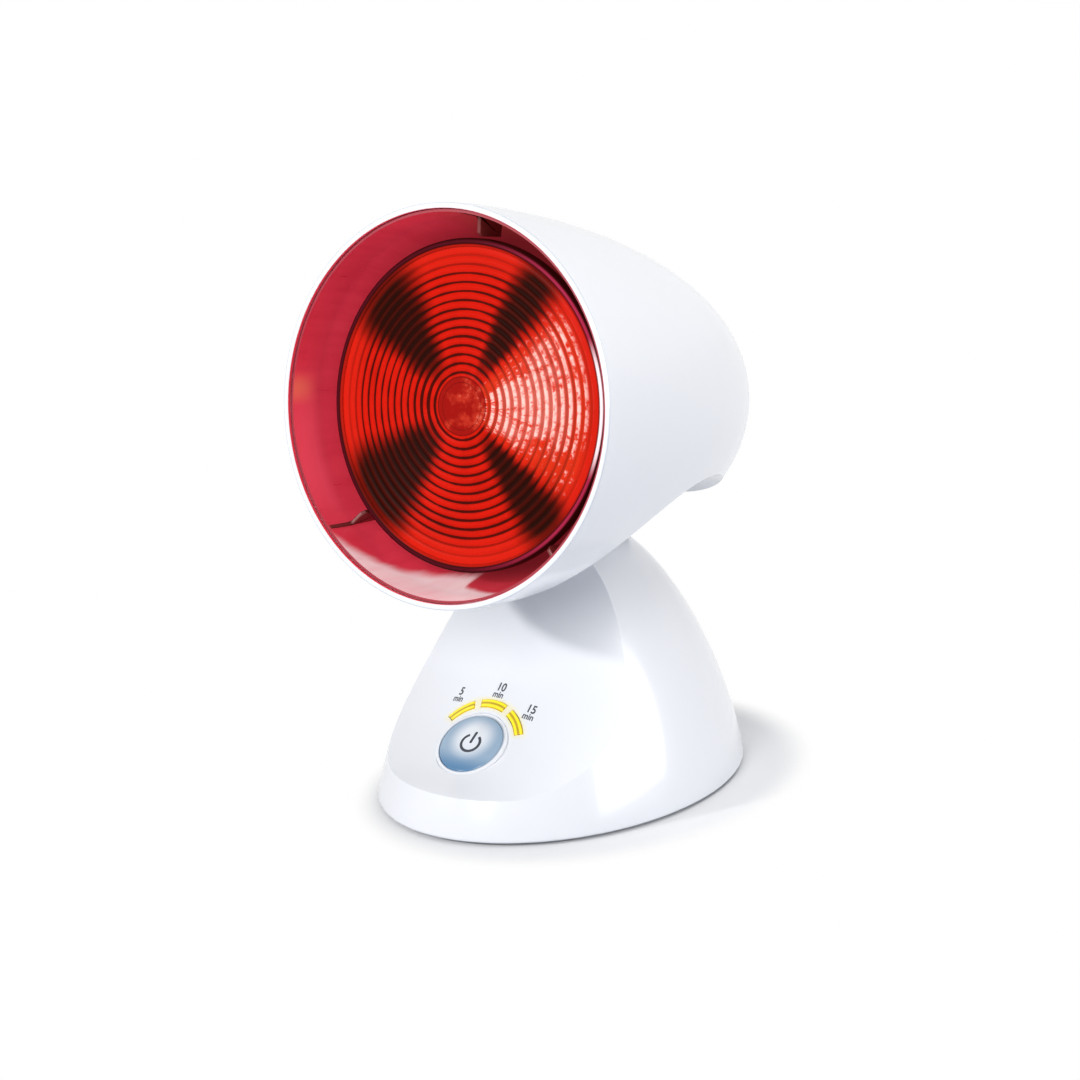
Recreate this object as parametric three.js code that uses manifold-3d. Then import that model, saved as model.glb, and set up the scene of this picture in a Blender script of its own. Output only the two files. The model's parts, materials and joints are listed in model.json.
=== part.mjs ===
// Infrared heat lamp for the table: a round shade with a reflector bulb, tilting on a domed base
// that holds a push button and a three-step timer. Lengths are in millimetres, angles in degrees.
// The front faces -Y and the lamp stands on its feet at z = 0.

import * as THREE from 'three';
import { mergeVertices } from 'three/addons/utils/BufferGeometryUtils.js';
import Module from 'manifold-3d';

const wasm = await Module();
wasm.setup();

// Fits, shared by all pieces
const seatGap = 0.3;
const turnGap = 0.1;
const slideGap = 0.45;
const overrun = 4;
const weldReach = 0.0001;

// Counts of sides and steps
const formSides = 40;
const turnedSides = 24;
const smallSides = 16;
const screwSides = 12;
const wireSides = 4;
const cornerSteps = 2;

// Base: a dome longer than it is wide, whose front is cut by a swept control panel
const baseHalfWidth = 62.4;
const baseHalfDepth = 87.6;
const domeHeight = 105;
const domeRisePower = 1.3;
const domeFallPower = 0.54;
const domeTopShare = 0.9048;
const baseLift = 1.2;
const baseEdgeRound = 1.2;
const baseTopRound = 1.6;
const baseWall = 2.5;
const domeSteps = 8;
const domeSpacingShare = 0.9;

// Centre line of the panel, as shares of the base's half depth and of its top
const panelLineShares = [
  [-1.14, 0.1], [-0.947, 0.174], [-0.822, 0.227], [-0.69, 0.308], [-0.571, 0.396],
  [-0.434, 0.521], [-0.32, 0.663], [-0.228, 0.821], [-0.171, 0.963], [-0.13, 1.18],
];
const buttonLineShare = 1 / 3;
const panelBow = 107;
const panelReach = 70;
const panelSteps = 18;
const panelAcross = 10;

// Push button, its ring and the three timer windows
const buttonRadius = 12.8;
const buttonCrown = 1.1;
const buttonCrownSteps = 4;
const buttonStand = 0.5;
const buttonSkirt = 6;
const buttonWall = 1.6;
const buttonLipWidth = 1.7;
const buttonLipHeight = 1.2;
const buttonTravel = 0.8;
const ringWidth = 1.1;
const ringStand = 0.35;
const ringDepth = 3;
const windowInner = 16.9;
const windowWidth = 3.1;
const windowSpan = 33;
const windowPitch = 43;
const windowStand = 0.35;
const guideDepth = 6.4;

// Timer board behind the panel
const boardThick = 1.6;
const timerBoardWidth = 50;
const timerBoardLow = 17;
const timerBoardHigh = 25;
const timerBoardDepth = 13;
const boardPostShares = [[-0.84, -0.44], [0.84, -0.44], [-0.84, 0.82], [0.84, 0.82]];
const switchSide = 7;
const switchHeight = 4.2;
const plungerRadius = 1.7;
const plungerSink = 2;
const ledRadius = 1.5;
const ledCollar = 0.4;

// Base plate, feet and screws
const plateThick = 2;
const plateRecess = 1.3;
const footRadius = 7.5;
const footEdge = 0.8;
const footWidthShare = 0.5;
const footDepthShare = 0.62;
const bossRadius = 4.4;
const bossWidthShare = 0.62;
const bossDepthShare = 0.4;
const screwShank = 1.4;
const screwHeadRadius = 2.9;
const screwHeadHeight = 1.5;
const screwLength = 12;
const screwSlotWidth = 0.8;
const screwSlotDepth = 0.7;

// Power board with its parts
const powerBoardWidth = 46;
const powerBoardDepth = 36;
const powerBoardSetShare = 0.525;
const powerBoardRise = 6;
const postRadius = 2.6;
const postInset = 4;
const relaySize = [15, 12, 14];
const filmCapSize = [17, 7, 13];
const partRound = 0.8;
const capRadius = 5;
const capHeight = 14;
const fuseRadius = 2.6;
const fuseLength = 20;
const fuseCapLength = 5;
const terminalSize = [15, 8, 10];
const terminalMouth = 2.6;

// Cord gland at the back of the base
const glandHeight = 13;
const glandBore = 3.7;
const glandNeck = 5.2;
const glandFlange = 7.2;
const glandFlangeThick = 2;
const glandPad = 8.6;
const glandPadStand = 2.4;
const glandInner = 5;

// Tilting neck
const pivotSink = 10;
const pivotSet = 3;
const pivotDrop = 63.04;
const pivotBack = 91.44;
const headTilt = 8.88;
const pinRadius = 3;
const pinHeadRadius = 5;
const pinHeadThick = 1.6;
const clipThick = 1.2;
const cheekInner = 8;
const cheekThick = 3;
const cheekHalfWidth = 6.4;
const cheekStraight = 14;
const washerThick = 1.2;
const washerRadius = 7;
const tiltDown = 10;
const tiltUp = 30;
const tiltStep = 10;
const sectorRadius = 13;
const notchRadius = 1;
const towerThick = 3.4;
const towerHeadRadius = 7.4;
const towerFootHalf = 21;
const towerFlange = 3;
const towerWebHeight = 4;
const towerWebSink = 25;
const towerLightenShare = 0.42;
const towerWindowShares = [0.18, 0.62];
const springThick = 0.9;
const springWidth = 5;
const springNose = 1.2;
const springHalf = 8;

// Shade: outer shell turned about the lamp's axis, with an arch cut over the base
const mouthAir = 12.45;
const shadeTail = 62;
const shadeSidePower = 1.7;
const shadeEndPower = 2.527;
const shadeWall = 2;
const rimBand = 2.25;
const rimLipDepth = 1.4;
const shadeSteps = 12;
const shadeSpacingShare = 0.86;
const archRadius = 88.4;
const archBack = 99.7;
const archDrop = 109.7;
const ventHalfWidth = 17;
const ventHeight = 2.6;
const ventPitch = 6.2;
const ventCount = 4;
const ventLift = 2;
const shellBossRadius = 5.2;
const shellBossSet = 15;
const shellBossDrop = 13;
const shellBossFloor = 2;

// Inner reflector with the three bulb guides
const linerWall = 1;
const linerAir = 8;
const linerSteps = 7;
const linerEnd = 106;
const guideCount = 3;
const guideSideAngle = 137;
const guideThick = 1.6;
const guideRidge = 1.1;
const guideStep = 14;
const guideFront = 2;
const guideBack = 27;
const bulbGuideGap = 0.8;

// Bulb: pressed glass lens, reflector bowl and screw cap
const bulbRadius = 60.5;
const bulbBack = 16;
const lensBulge = 3.2;
const lensThick = 3.4;
const lensRimWidth = 3.2;
const lensRimStand = 0.7;
const lensSides = 36;
const lensSharesOut = [0, 0.2, 0.4, 0.6, 0.8, 1];
const bowlBand = 4;
const bowlDepth = 92;
const bowlNeck = 17;
const bowlWall = 2;
const bowlSteps = 6;
const bowlSpacingShare = 0.9;
const capShellRadius = 13.2;
const capThreadDepth = 0.6;
const capThreadPitch = 3.6;
const capThreadCount = 6;
const capCollar = 3.4;
const capInsulatorHeight = 3.4;
const capTipRadius = 4.6;
const capTipHeight = 2.2;
const stemRadius = 2.6;
const stemLength = 46;
const filamentRadius = 12;
const filamentWire = 0.9;
const filamentSteps = 8;

// Lampholder and its housing
const holderRadius = 19.5;
const holderFloor = 6;
const sleeveWall = 0.7;
const sleeveLead = 3;
const contactHeight = 1.4;
const housingWall = 1.8;
const housingAir = 2.4;
const housingBendShare = 0.4;

// Saddle that joins the neck to the reflector
const saddleThick = 2.5;
const saddleFront = 81;
const saddleEnd = 101;
const saddleSpread = 34;
const saddleSteps = 4;
const rivetRadius = 1.6;
const rivetHead = 2.7;
const rivetHeadHeight = 1.1;
const rivetSink = 0.4;
const rivetInsetShare = 0.26;

const worldX = new THREE.Vector3(1, 0, 0);
const worldY = new THREE.Vector3(0, 1, 0);
const worldZ = new THREE.Vector3(0, 0, 1);
const radians = THREE.MathUtils.degToRad;

// Sizes that follow from the ones above
const baseTop = domeHeight * domeTopShare;
const pivotHeight = baseTop - pivotSink;
const towerWebTop = pivotHeight - towerWebSink;
const rimRadius = bulbRadius + mouthAir;
const rimLipRadius = rimRadius - rimBand;
const shadeLength = bulbBack + bowlDepth + shadeTail;
const powerBoardSet = baseHalfDepth * powerBoardSetShare;
const plateBottom = baseLift + plateRecess;
const plateTop = plateBottom + plateThick;
const cheekOuter = cheekInner + cheekThick;
const towerInner = cheekOuter + seatGap + washerThick + seatGap;
const towerOuter = towerInner + towerThick;
const bowlEnd = bulbBack + bowlDepth;
const capFront = bowlEnd + seatGap;
const capBack = capFront + capCollar + capThreadPitch * capThreadCount;
const tipBack = capBack + seatGap + capInsulatorHeight + seatGap + capTipHeight;
const housingFront = linerEnd + seatGap;
const holderFront = capFront + capCollar / 2;
const holderBack = tipBack + seatGap + contactHeight + seatGap + holderFloor;
const housingBack = holderBack + seatGap + housingWall;
const housingRadius = holderRadius + housingAir + housingWall;

// Solid modelling helpers

function toSolid(geometry) {
  const bare = geometry.clone();
  bare.deleteAttribute('normal');
  bare.deleteAttribute('uv');
  const welded = mergeVertices(bare, weldReach);
  const corners = welded.index.array;
  const kept = [];
  for (let i = 0; i < corners.length; i += 3) {
    const [a, b, c] = corners.slice(i, i + 3);
    if (a !== b && b !== c && c !== a) kept.push(a, b, c);
  }
  const vertProperties = new Float32Array(welded.attributes.position.array);
  return new wasm.Manifold(new wasm.Mesh({ numProp: 3, vertProperties, triVerts: new Uint32Array(kept) }));
}

function toGeometry(solid) {
  const mesh = solid.getMesh();
  const geometry = new THREE.BufferGeometry();
  geometry.setAttribute('position', new THREE.BufferAttribute(new Float32Array(mesh.vertProperties), 3));
  geometry.setIndex(new THREE.BufferAttribute(new Uint32Array(mesh.triVerts), 1));
  return geometry;
}

function join(first, ...others) {
  return toGeometry(others.reduce((sum, other) => sum.add(toSolid(other)), toSolid(first)));
}

function cut(first, ...others) {
  return toGeometry(others.reduce((rest, other) => rest.subtract(toSolid(other)), toSolid(first)));
}

function common(first, ...others) {
  return toGeometry(others.reduce((rest, other) => rest.intersect(toSolid(other)), toSolid(first)));
}

// Turned about +Z from an outline of [radius, height] points
function turned(outline, sides = turnedSides) {
  const points = outline.map(([radius, height]) => new THREE.Vector2(radius, height));
  if (THREE.ShapeUtils.area(points) < 0) points.reverse();
  if (points[0].x > 0 || points[points.length - 1].x > 0) points.push(points[0].clone());
  return new THREE.LatheGeometry(points, sides).rotateX(Math.PI / 2);
}

function rod(radius, bottom, top, sides = smallSides) {
  return turned([[0, bottom], [radius, bottom], [radius, top], [0, top]], sides);
}

function tube(inner, outer, bottom, top, sides = smallSides) {
  return turned([[inner, bottom], [outer, bottom], [outer, top], [inner, top]], sides);
}

// A round bar along X, from one x to the other, centred on [y, z]
function barAlongX(radius, from, to, [y, z], sides = turnedSides) {
  return rod(radius, from, to, sides).rotateY(Math.PI / 2).translate(0, y, z);
}

function block([width, depth, height], [x, y, z]) {
  return new THREE.BoxGeometry(width, depth, height).translate(x, y, z);
}

function shapeOf(points) {
  return new THREE.Shape(points.map(([a, b]) => new THREE.Vector2(a, b)));
}

function raised(shape, bottom, top, steps = smallSides) {
  const settings = { depth: top - bottom, bevelEnabled: false, curveSegments: steps };
  return new THREE.ExtrudeGeometry(shape, settings).translate(0, 0, bottom);
}

// A flat shape drawn in the Y-Z plane and given its thickness along X
function plateAlongX(shape, from, to, steps = smallSides) {
  const turn = new THREE.Matrix4().makeBasis(worldY, worldZ, worldX);
  return raised(shape, from, to, steps).applyMatrix4(turn);
}

// A skin over rings of equal count, closed at both ends from the middle of the end rings
function lofted(rings) {
  const count = rings[0].length;
  const places = rings.flat();
  const middles = [rings[0], rings[rings.length - 1]].map((ring) => {
    const middle = new THREE.Vector3();
    ring.forEach((place) => middle.add(place));
    return middle.divideScalar(count);
  });
  const all = [...places, ...middles];
  const corners = [];
  for (let i = 0; i < rings.length - 1; i += 1) {
    for (let j = 0; j < count; j += 1) {
      const a = i * count + j;
      const b = i * count + ((j + 1) % count);
      corners.push(a, b, b + count, a, b + count, a + count);
    }
  }
  const last = (rings.length - 1) * count;
  for (let j = 0; j < count; j += 1) {
    const next = (j + 1) % count;
    corners.push(all.length - 2, next, j, all.length - 1, last + j, last + next);
  }
  const geometry = new THREE.BufferGeometry().setFromPoints(all);
  geometry.setIndex(corners);
  return geometry;
}

function finish(color, roughness, metalness = 0) {
  return new THREE.MeshStandardMaterial({ color, roughness, metalness });
}

function piece(name, geometry, material) {
  const mesh = new THREE.Mesh(geometry, material.clone());
  mesh.name = name;
  return mesh;
}

const whitePlastic = finish(0xf4f5f8, 0.28);
const innerWhite = finish(0xe9eaee, 0.45);
const crimsonWall = finish(0xc72f48, 0.35);
const redGlass = finish(0xd81e14, 0.12);
const darkGlass = finish(0x5a0d14, 0.2);
const yellowGuide = finish(0xf2d300, 0.3);
const blueButton = finish(0xb4c8de, 0.25);
const silver = finish(0xc8ccd2, 0.25, 1);
const steel = finish(0x9ba0a6, 0.35, 1);
const brass = finish(0xc9a24a, 0.3, 1);
const porcelain = finish(0xefece4, 0.4);
const blackPart = finish(0x1f2023, 0.5);
const greenBoard = finish(0x2c6b3f, 0.6);
const blueCase = finish(0x2d5fa8, 0.5);
const rubber = finish(0x2b2c2f, 0.8);

// Forms that several pieces share

function domeShare(height, top) {
  const share = THREE.MathUtils.clamp(height / top, 0, 1);
  return (1 - share ** domeRisePower) ** domeFallPower;
}

function domeRing(height, inset, drawn = 0) {
  const share = domeShare(height, domeHeight - inset);
  const halfWidth = (baseHalfWidth - inset) * share - drawn;
  const halfDepth = (baseHalfDepth - inset) * share - drawn;
  return Array.from({ length: formSides }, (_, i) => {
    const angle = (2 * Math.PI * i) / formSides;
    return new THREE.Vector3(halfWidth * Math.cos(angle), halfDepth * Math.sin(angle), height);
  });
}

// The dome as a solid, drawn in by an inset, with its lower and upper edges rounded
function dome(inset, bottom, top, round, topRound) {
  const rings = [domeRing(bottom, inset, round)];
  for (let i = 0; i <= domeSteps; i += 1) {
    const height = THREE.MathUtils.lerp(bottom + round, top - topRound, (i / domeSteps) ** domeSpacingShare);
    rings.push(domeRing(height, inset));
  }
  rings.push(domeRing(top, inset, topRound));
  return lofted(rings);
}

function panelLine() {
  const places = panelLineShares.map(([y, z]) => new THREE.Vector3(0, y * baseHalfDepth, z * baseTop));
  return new THREE.CatmullRomCurve3(places, false, 'catmullrom', 0.5);
}

// All that lies in front of the panel, from a surface set behind it by an inset
function frontOfPanel(inset) {
  const line = panelLine();
  const rings = [];
  for (let i = 0; i <= panelSteps; i += 1) {
    const place = line.getPoint(i / panelSteps);
    const along = line.getTangent(i / panelSteps);
    const out = new THREE.Vector3(0, -along.z, along.y);
    const ring = [];
    for (let j = 0; j <= panelAcross; j += 1) {
      const x = panelReach * (1 - (2 * j) / panelAcross);
      const sag = panelBow - Math.sqrt(panelBow ** 2 - x ** 2);
      ring.push(place.clone().addScaledVector(out, -inset - sag).setX(x));
    }
    const far = place.clone().addScaledVector(out, panelReach);
    ring.push(far.clone().setX(-panelReach), far.clone().setX(panelReach));
    rings.push(ring);
  }
  return lofted(rings);
}

// The place of the controls: middle of the button on the panel, local z pointing out of it
function controlsFrame() {
  const line = panelLine();
  const along = line.getTangent(buttonLineShare);
  const frame = new THREE.Matrix4().makeRotationX(Math.atan2(along.z, along.y));
  return frame.setPosition(line.getPoint(buttonLineShare));
}

function windowShape(angle, gap = 0) {
  const middle = Math.PI / 2 - radians(angle);
  const half = radians(windowSpan) / 2 + gap / windowInner;
  const shape = new THREE.Shape();
  shape.absarc(0, 0, windowInner - gap, middle - half, middle + half, false);
  shape.absarc(0, 0, windowInner + windowWidth + gap, middle + half, middle - half, true);
  return shape;
}

// Four places, one in each quarter of the footprint
function cornerPlaces(halfWidth, halfDepth) {
  return [[-1, -1], [1, -1], [1, 1], [-1, 1]].map(([x, y]) => [x * halfWidth, y * halfDepth]);
}

const screwPlaces = cornerPlaces(baseHalfWidth * bossWidthShare, baseHalfDepth * bossDepthShare);
const footPlaces = cornerPlaces(baseHalfWidth * footWidthShare, baseHalfDepth * footDepthShare);
const towerScrewPlaces = [-1, 1].map((side) => [0, pivotSet + (side * towerFootHalf) / 2]);

// Base pieces

function glandWallPlace() {
  return baseHalfDepth * domeShare(glandHeight, domeHeight);
}

function alongBack(geometry) {
  return geometry.rotateX(-Math.PI / 2).translate(0, 0, glandHeight);
}

function cheekSlots() {
  const reach = baseTop - pivotHeight;
  const lean = radians(headTilt + tiltUp);
  const front = cheekHalfWidth / Math.cos(radians(tiltDown)) + slideGap;
  const back = cheekHalfWidth / Math.cos(lean) + reach * Math.tan(lean) + 4 * slideGap;
  const depth = front + back;
  const width = cheekThick + 2 * slideGap;
  const height = 2 * (baseTop - pivotHeight);
  return [-1, 1].map((side) => {
    const x = side * (cheekInner + cheekThick / 2);
    return block([width, depth, height], [x, pivotSet - front + depth / 2, baseTop]);
  });
}

function baseShell() {
  const outside = dome(0, baseLift, baseTop, baseEdgeRound, baseTopRound);
  const body = cut(outside, frontOfPanel(0));
  const inside = dome(baseWall, -overrun, baseTop - baseWall, 0, baseTopRound);
  const hollow = cut(inside, frontOfPanel(baseWall));
  const core = cut(dome(baseWall / 2, 0, baseTop, 0, baseTopRound), frontOfPanel(baseWall / 2));
  const bosses = screwPlaces.map(([x, y]) => {
    const boss = rod(bossRadius, plateTop + seatGap, baseTop, screwSides).translate(x, y, 0);
    return common(boss, core);
  });
  const frame = controlsFrame();
  const boardPosts = boardPostShares.map(([x, y]) => {
    const place = [(x * timerBoardWidth) / 2, y * timerBoardHigh];
    const post = rod(postRadius, boardFace + seatGap, 0, screwSides).translate(...place, 0);
    return common(post.applyMatrix4(frame), core);
  });
  const wallPlace = glandWallPlace();
  const pad = alongBack(rod(glandPad, wallPlace - glandPad, wallPlace + glandPadStand, turnedSides));
  const padRoom = dome(baseWall / 2, -overrun, baseTop, 0, baseTopRound);
  const shell = join(cut(body, hollow), ...bosses, ...boardPosts, cut(pad, padRoom));
  const screwHoles = screwPlaces.map(([x, y]) => {
    const depth = plateTop + screwLength;
    return rod(screwShank + seatGap, 0, depth, screwSides).translate(x, y, 0);
  });
  const reach = wallPlace + glandPad;
  const glandHole = alongBack(rod(glandNeck + seatGap, wallPlace - glandPad, reach, turnedSides));
  const through = [rod(buttonRadius + ringWidth + 2 * seatGap, -guideDepth, overrun, turnedSides)];
  [-1, 0, 1].forEach((step) => {
    through.push(raised(windowShape(step * windowPitch, seatGap), -guideDepth, overrun, smallSides / 2));
  });
  through.forEach((geometry) => geometry.applyMatrix4(frame));
  const openings = [...screwHoles, glandHole, ...through, ...cheekSlots()];
  return piece('base_shell', cut(shell, ...openings), whitePlastic);
}

// A slab that fits inside the dome's wall
function footprint(bottom, top) {
  const ring = domeRing(top, baseWall + slideGap + seatGap);
  return raised(new THREE.Shape(ring.map(({ x, y }) => new THREE.Vector2(x, y))), bottom, top);
}

const boardPostPlaces = cornerPlaces(powerBoardWidth / 2 - postInset, powerBoardDepth / 2 - postInset)
  .map(([x, y]) => [x, y + powerBoardSet]);

function basePlate() {
  const slab = footprint(plateBottom, plateTop);
  const posts = boardPostPlaces.map(([x, y]) => {
    return rod(postRadius, plateBottom + plateThick / 2, plateTop + powerBoardRise).translate(x, y, 0);
  });
  const holes = [...screwPlaces, ...towerScrewPlaces].map(([x, y]) => {
    return rod(screwShank + seatGap, 0, plateTop + overrun, screwSides).translate(x, y, 0);
  });
  return piece('base_plate', cut(join(slab, ...posts), ...holes), innerWhite);
}

function slottedScrew(radius, length) {
  const outline = [
    [0, length], [radius, length], [radius, 0], [screwHeadRadius, 0],
    [screwHeadRadius, -screwHeadHeight / 2], [screwHeadRadius - screwHeadHeight / 2, -screwHeadHeight],
    [0, -screwHeadHeight],
  ];
  const slot = [2 * screwHeadRadius + overrun, screwSlotWidth, 2 * screwSlotDepth];
  return cut(turned(outline, screwSides), block(slot, [0, 0, -screwHeadHeight]));
}

function baseScrews() {
  return screwPlaces.map(([x, y], i) => {
    const screw = piece(`base_screw_${i + 1}`, slottedScrew(screwShank, screwLength), steel);
    screw.position.set(x, y, plateBottom - seatGap);
    return screw;
  });
}

function feet() {
  const height = plateBottom - seatGap;
  const outline = [
    [0, 0], [footRadius - footEdge, 0], [footRadius, footEdge], [footRadius, height], [0, height],
  ];
  return footPlaces.map(([x, y], i) => {
    const foot = piece(`foot_${i + 1}`, turned(outline), rubber);
    foot.position.set(x, y, 0);
    return foot;
  });
}

function cordGland() {
  const flangeSeat = glandWallPlace() + glandPadStand + seatGap;
  const front = flangeSeat - baseWall - glandPadStand - glandInner;
  const back = flangeSeat + glandFlangeThick;
  const outline = [
    [glandBore, front], [glandNeck, front], [glandNeck, flangeSeat], [glandFlange, flangeSeat],
    [glandFlange, back - glandFlangeThick / 2], [glandFlange - glandFlangeThick / 2, back],
    [glandBore, back],
  ];
  return piece('cord_gland', alongBack(turned(outline)), blackPart);
}

// Control pieces, in the frame of the button

function buttonRing() {
  const inner = buttonRadius + seatGap;
  const outer = inner + ringWidth;
  const outline = [
    [inner, -ringDepth], [outer, -ringDepth], [outer, ringStand / 2],
    [outer - ringStand, ringStand], [inner, ringStand],
  ];
  return piece('button_ring', turned(outline), silver);
}

function powerButton() {
  const lipTop = -baseWall - seatGap - buttonTravel;
  const lipBottom = lipTop - buttonLipHeight;
  const outline = [[0, buttonStand + buttonCrown]];
  for (let i = 1; i <= buttonCrownSteps; i += 1) {
    const share = i / (buttonCrownSteps + 1);
    outline.push([buttonRadius * share, buttonStand + buttonCrown * (1 - share ** 2)]);
  }
  outline.push(
    [buttonRadius - buttonWall / 3, buttonStand], [buttonRadius, buttonStand - buttonWall / 3],
    [buttonRadius, lipTop], [buttonRadius + buttonLipWidth, lipTop],
    [buttonRadius + buttonLipWidth, lipBottom], [buttonRadius - buttonWall, lipBottom],
    [buttonRadius - buttonWall, -buttonWall], [plungerRadius + seatGap, -buttonWall],
    [plungerRadius + seatGap, -buttonSkirt], [0, -buttonSkirt],
  );
  return piece('power_button', turned(outline), blueButton);
}

const boardFace = -timerBoardDepth;
const switchTop = boardFace + seatGap + switchHeight;

function switchPlunger() {
  const top = -buttonSkirt - seatGap;
  return piece('switch_plunger', rod(plungerRadius, switchTop - plungerSink + buttonTravel, top), blackPart);
}

function timerSwitch() {
  const middle = boardFace + seatGap + switchHeight / 2;
  const body = block([switchSide, switchSide, switchHeight], [0, 0, middle]);
  const well = rod(plungerRadius + slideGap, switchTop - plungerSink - seatGap, switchTop + overrun);
  return piece('timer_switch', cut(body, well), blackPart);
}

function timerBoard() {
  const depth = timerBoardLow + timerBoardHigh;
  const middle = (timerBoardHigh - timerBoardLow) / 2;
  const board = block([timerBoardWidth, depth, boardThick], [0, middle, boardFace - boardThick / 2]);
  return piece('timer_board', board, greenBoard);
}

function timerWindows() {
  const toControls = controlsFrame().invert();
  const front = frontOfPanel(-windowStand).applyMatrix4(toControls);
  const radius = windowInner + windowWidth / 2;
  return ['five', 'ten', 'fifteen'].flatMap((name, i) => {
    const angle = (i - 1) * windowPitch;
    const guide = cut(raised(windowShape(angle), -guideDepth, overrun, smallSides / 2), front);
    const bottom = boardFace + seatGap;
    const top = -guideDepth - seatGap;
    const outline = [
      [0, bottom], [ledRadius + ledCollar, bottom], [ledRadius + ledCollar, bottom + ledCollar],
      [ledRadius, bottom + ledCollar], [ledRadius, top - ledRadius / 2], [ledRadius / 2, top], [0, top],
    ];
    const led = piece(`timer_led_${name}`, turned(outline, screwSides), yellowGuide);
    led.position.set(radius * Math.sin(radians(angle)), radius * Math.cos(radians(angle)), 0);
    return [piece(`light_guide_${name}`, guide, yellowGuide), led];
  });
}

// Electric parts on the base plate

const boardBottom = plateTop + powerBoardRise + seatGap;
const boardTop = boardBottom + boardThick;

function roundedBlock([width, depth, height], round) {
  const shape = new THREE.Shape();
  const x = width / 2 - round;
  const y = depth / 2 - round;
  shape.absarc(x, y, round, 0, Math.PI / 2, false);
  shape.absarc(-x, y, round, Math.PI / 2, Math.PI, false);
  shape.absarc(-x, -y, round, -Math.PI, -Math.PI / 2, false);
  shape.absarc(x, -y, round, -Math.PI / 2, 0, false);
  return raised(shape, 0, height, cornerSteps);
}

function powerParts() {
  const rest = boardTop + seatGap;
  const board = block([powerBoardWidth, powerBoardDepth, boardThick],
    [0, powerBoardSet, boardBottom + boardThick / 2]);
  const frontRow = powerBoardSet - powerBoardDepth / 4;
  const backRow = powerBoardSet + powerBoardDepth / 4;
  const relay = piece('mains_relay', roundedBlock(relaySize, partRound), blackPart);
  relay.position.set(-powerBoardWidth / 2 + relaySize[0] / 2 + partRound, frontRow, rest);
  const film = piece('filter_capacitor', roundedBlock(filmCapSize, partRound), blueCase);
  film.position.set(powerBoardWidth / 2 - filmCapSize[0] / 2 - partRound, frontRow, rest);
  const canOutline = [
    [0, 0], [capRadius, 0], [capRadius, capHeight - partRound], [capRadius - partRound, capHeight],
    [0, capHeight],
  ];
  const can = piece('smoothing_capacitor', turned(canOutline, smallSides), blackPart);
  can.position.set(powerBoardWidth / 2 - capRadius - partRound, backRow, rest);
  const terminal = piece('terminal_block', terminalBlock(), whitePlastic);
  terminal.position.set(-powerBoardWidth / 2 + terminalSize[0] / 2 + partRound, backRow, rest);
  const fuse = piece('mains_fuse', fuseBody().rotateY(Math.PI / 2), silver);
  fuse.position.set(0, powerBoardSet, rest + fuseRadius);
  return [piece('power_board', board, greenBoard), relay, film, can, terminal, fuse];
}

function fuseBody() {
  const half = fuseLength / 2;
  const waist = half - fuseCapLength;
  const glass = fuseRadius - seatGap;
  return turned([
    [0, -half], [fuseRadius, -half], [fuseRadius, -waist], [glass, -waist],
    [glass, waist], [fuseRadius, waist], [fuseRadius, half], [0, half],
  ], screwSides);
}

function terminalBlock() {
  const [width, depth, height] = terminalSize;
  const mouths = [-1, 1].map((side) => {
    const mouth = block([terminalMouth, depth, terminalMouth], [0, 0, 0]);
    return mouth.translate((side * width) / 4, depth / 2, height / 3);
  });
  return cut(roundedBlock(terminalSize, partRound), ...mouths);
}

// Tilting neck: fixed tower, pin, washers and detent spring

function towerOutline() {
  const bottom = plateTop + seatGap;
  const shape = new THREE.Shape();
  shape.moveTo(pivotSet - towerFootHalf, bottom);
  shape.lineTo(pivotSet + towerFootHalf, bottom);
  shape.lineTo(pivotSet + towerHeadRadius, pivotHeight);
  shape.absarc(pivotSet, pivotHeight, towerHeadRadius, 0, Math.PI, false);
  shape.closePath();
  const window = new THREE.Path();
  const [low, high] = towerWindowShares.map((share) => THREE.MathUtils.lerp(bottom, pivotHeight, share));
  const lowHalf = towerFootHalf * towerLightenShare;
  const highHalf = towerHeadRadius * towerLightenShare;
  window.moveTo(pivotSet - lowHalf, low);
  window.lineTo(pivotSet - highHalf, high);
  window.lineTo(pivotSet + highHalf, high);
  window.lineTo(pivotSet + lowHalf, low);
  window.closePath();
  shape.holes.push(window);
  return shape;
}

function hingeTower() {
  const bottom = plateTop + seatGap;
  const sides = [[-towerOuter, -towerInner], [towerInner, towerOuter]]
    .map(([from, to]) => plateAlongX(towerOutline(), from, to, smallSides / 2));
  const flange = block([2 * towerOuter, 2 * towerFootHalf, towerFlange],
    [0, pivotSet, bottom + towerFlange / 2]);
  const web = block([2 * towerInner + towerThick, 2 * springHalf, towerWebHeight],
    [0, pivotSet, towerWebTop - towerWebHeight / 2]);
  const bore = barAlongX(pinRadius + turnGap, -towerOuter - overrun, towerOuter + overrun,
    [pivotSet, pivotHeight]);
  const screwHoles = towerScrewPlaces.map(([x, y]) => {
    return rod(screwShank + seatGap, 0, bottom + towerFlange + overrun, screwSides).translate(x, y, 0);
  });
  return piece('hinge_tower', cut(join(...sides, flange, web), bore, ...screwHoles), innerWhite);
}

function towerScrews() {
  return towerScrewPlaces.map(([x, y], i) => {
    const length = plateThick + towerFlange + 3 * seatGap;
    const screw = piece(`tower_screw_${i + 1}`, slottedScrew(screwShank, length), steel);
    screw.position.set(x, y, plateBottom - seatGap);
    return screw;
  });
}

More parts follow.
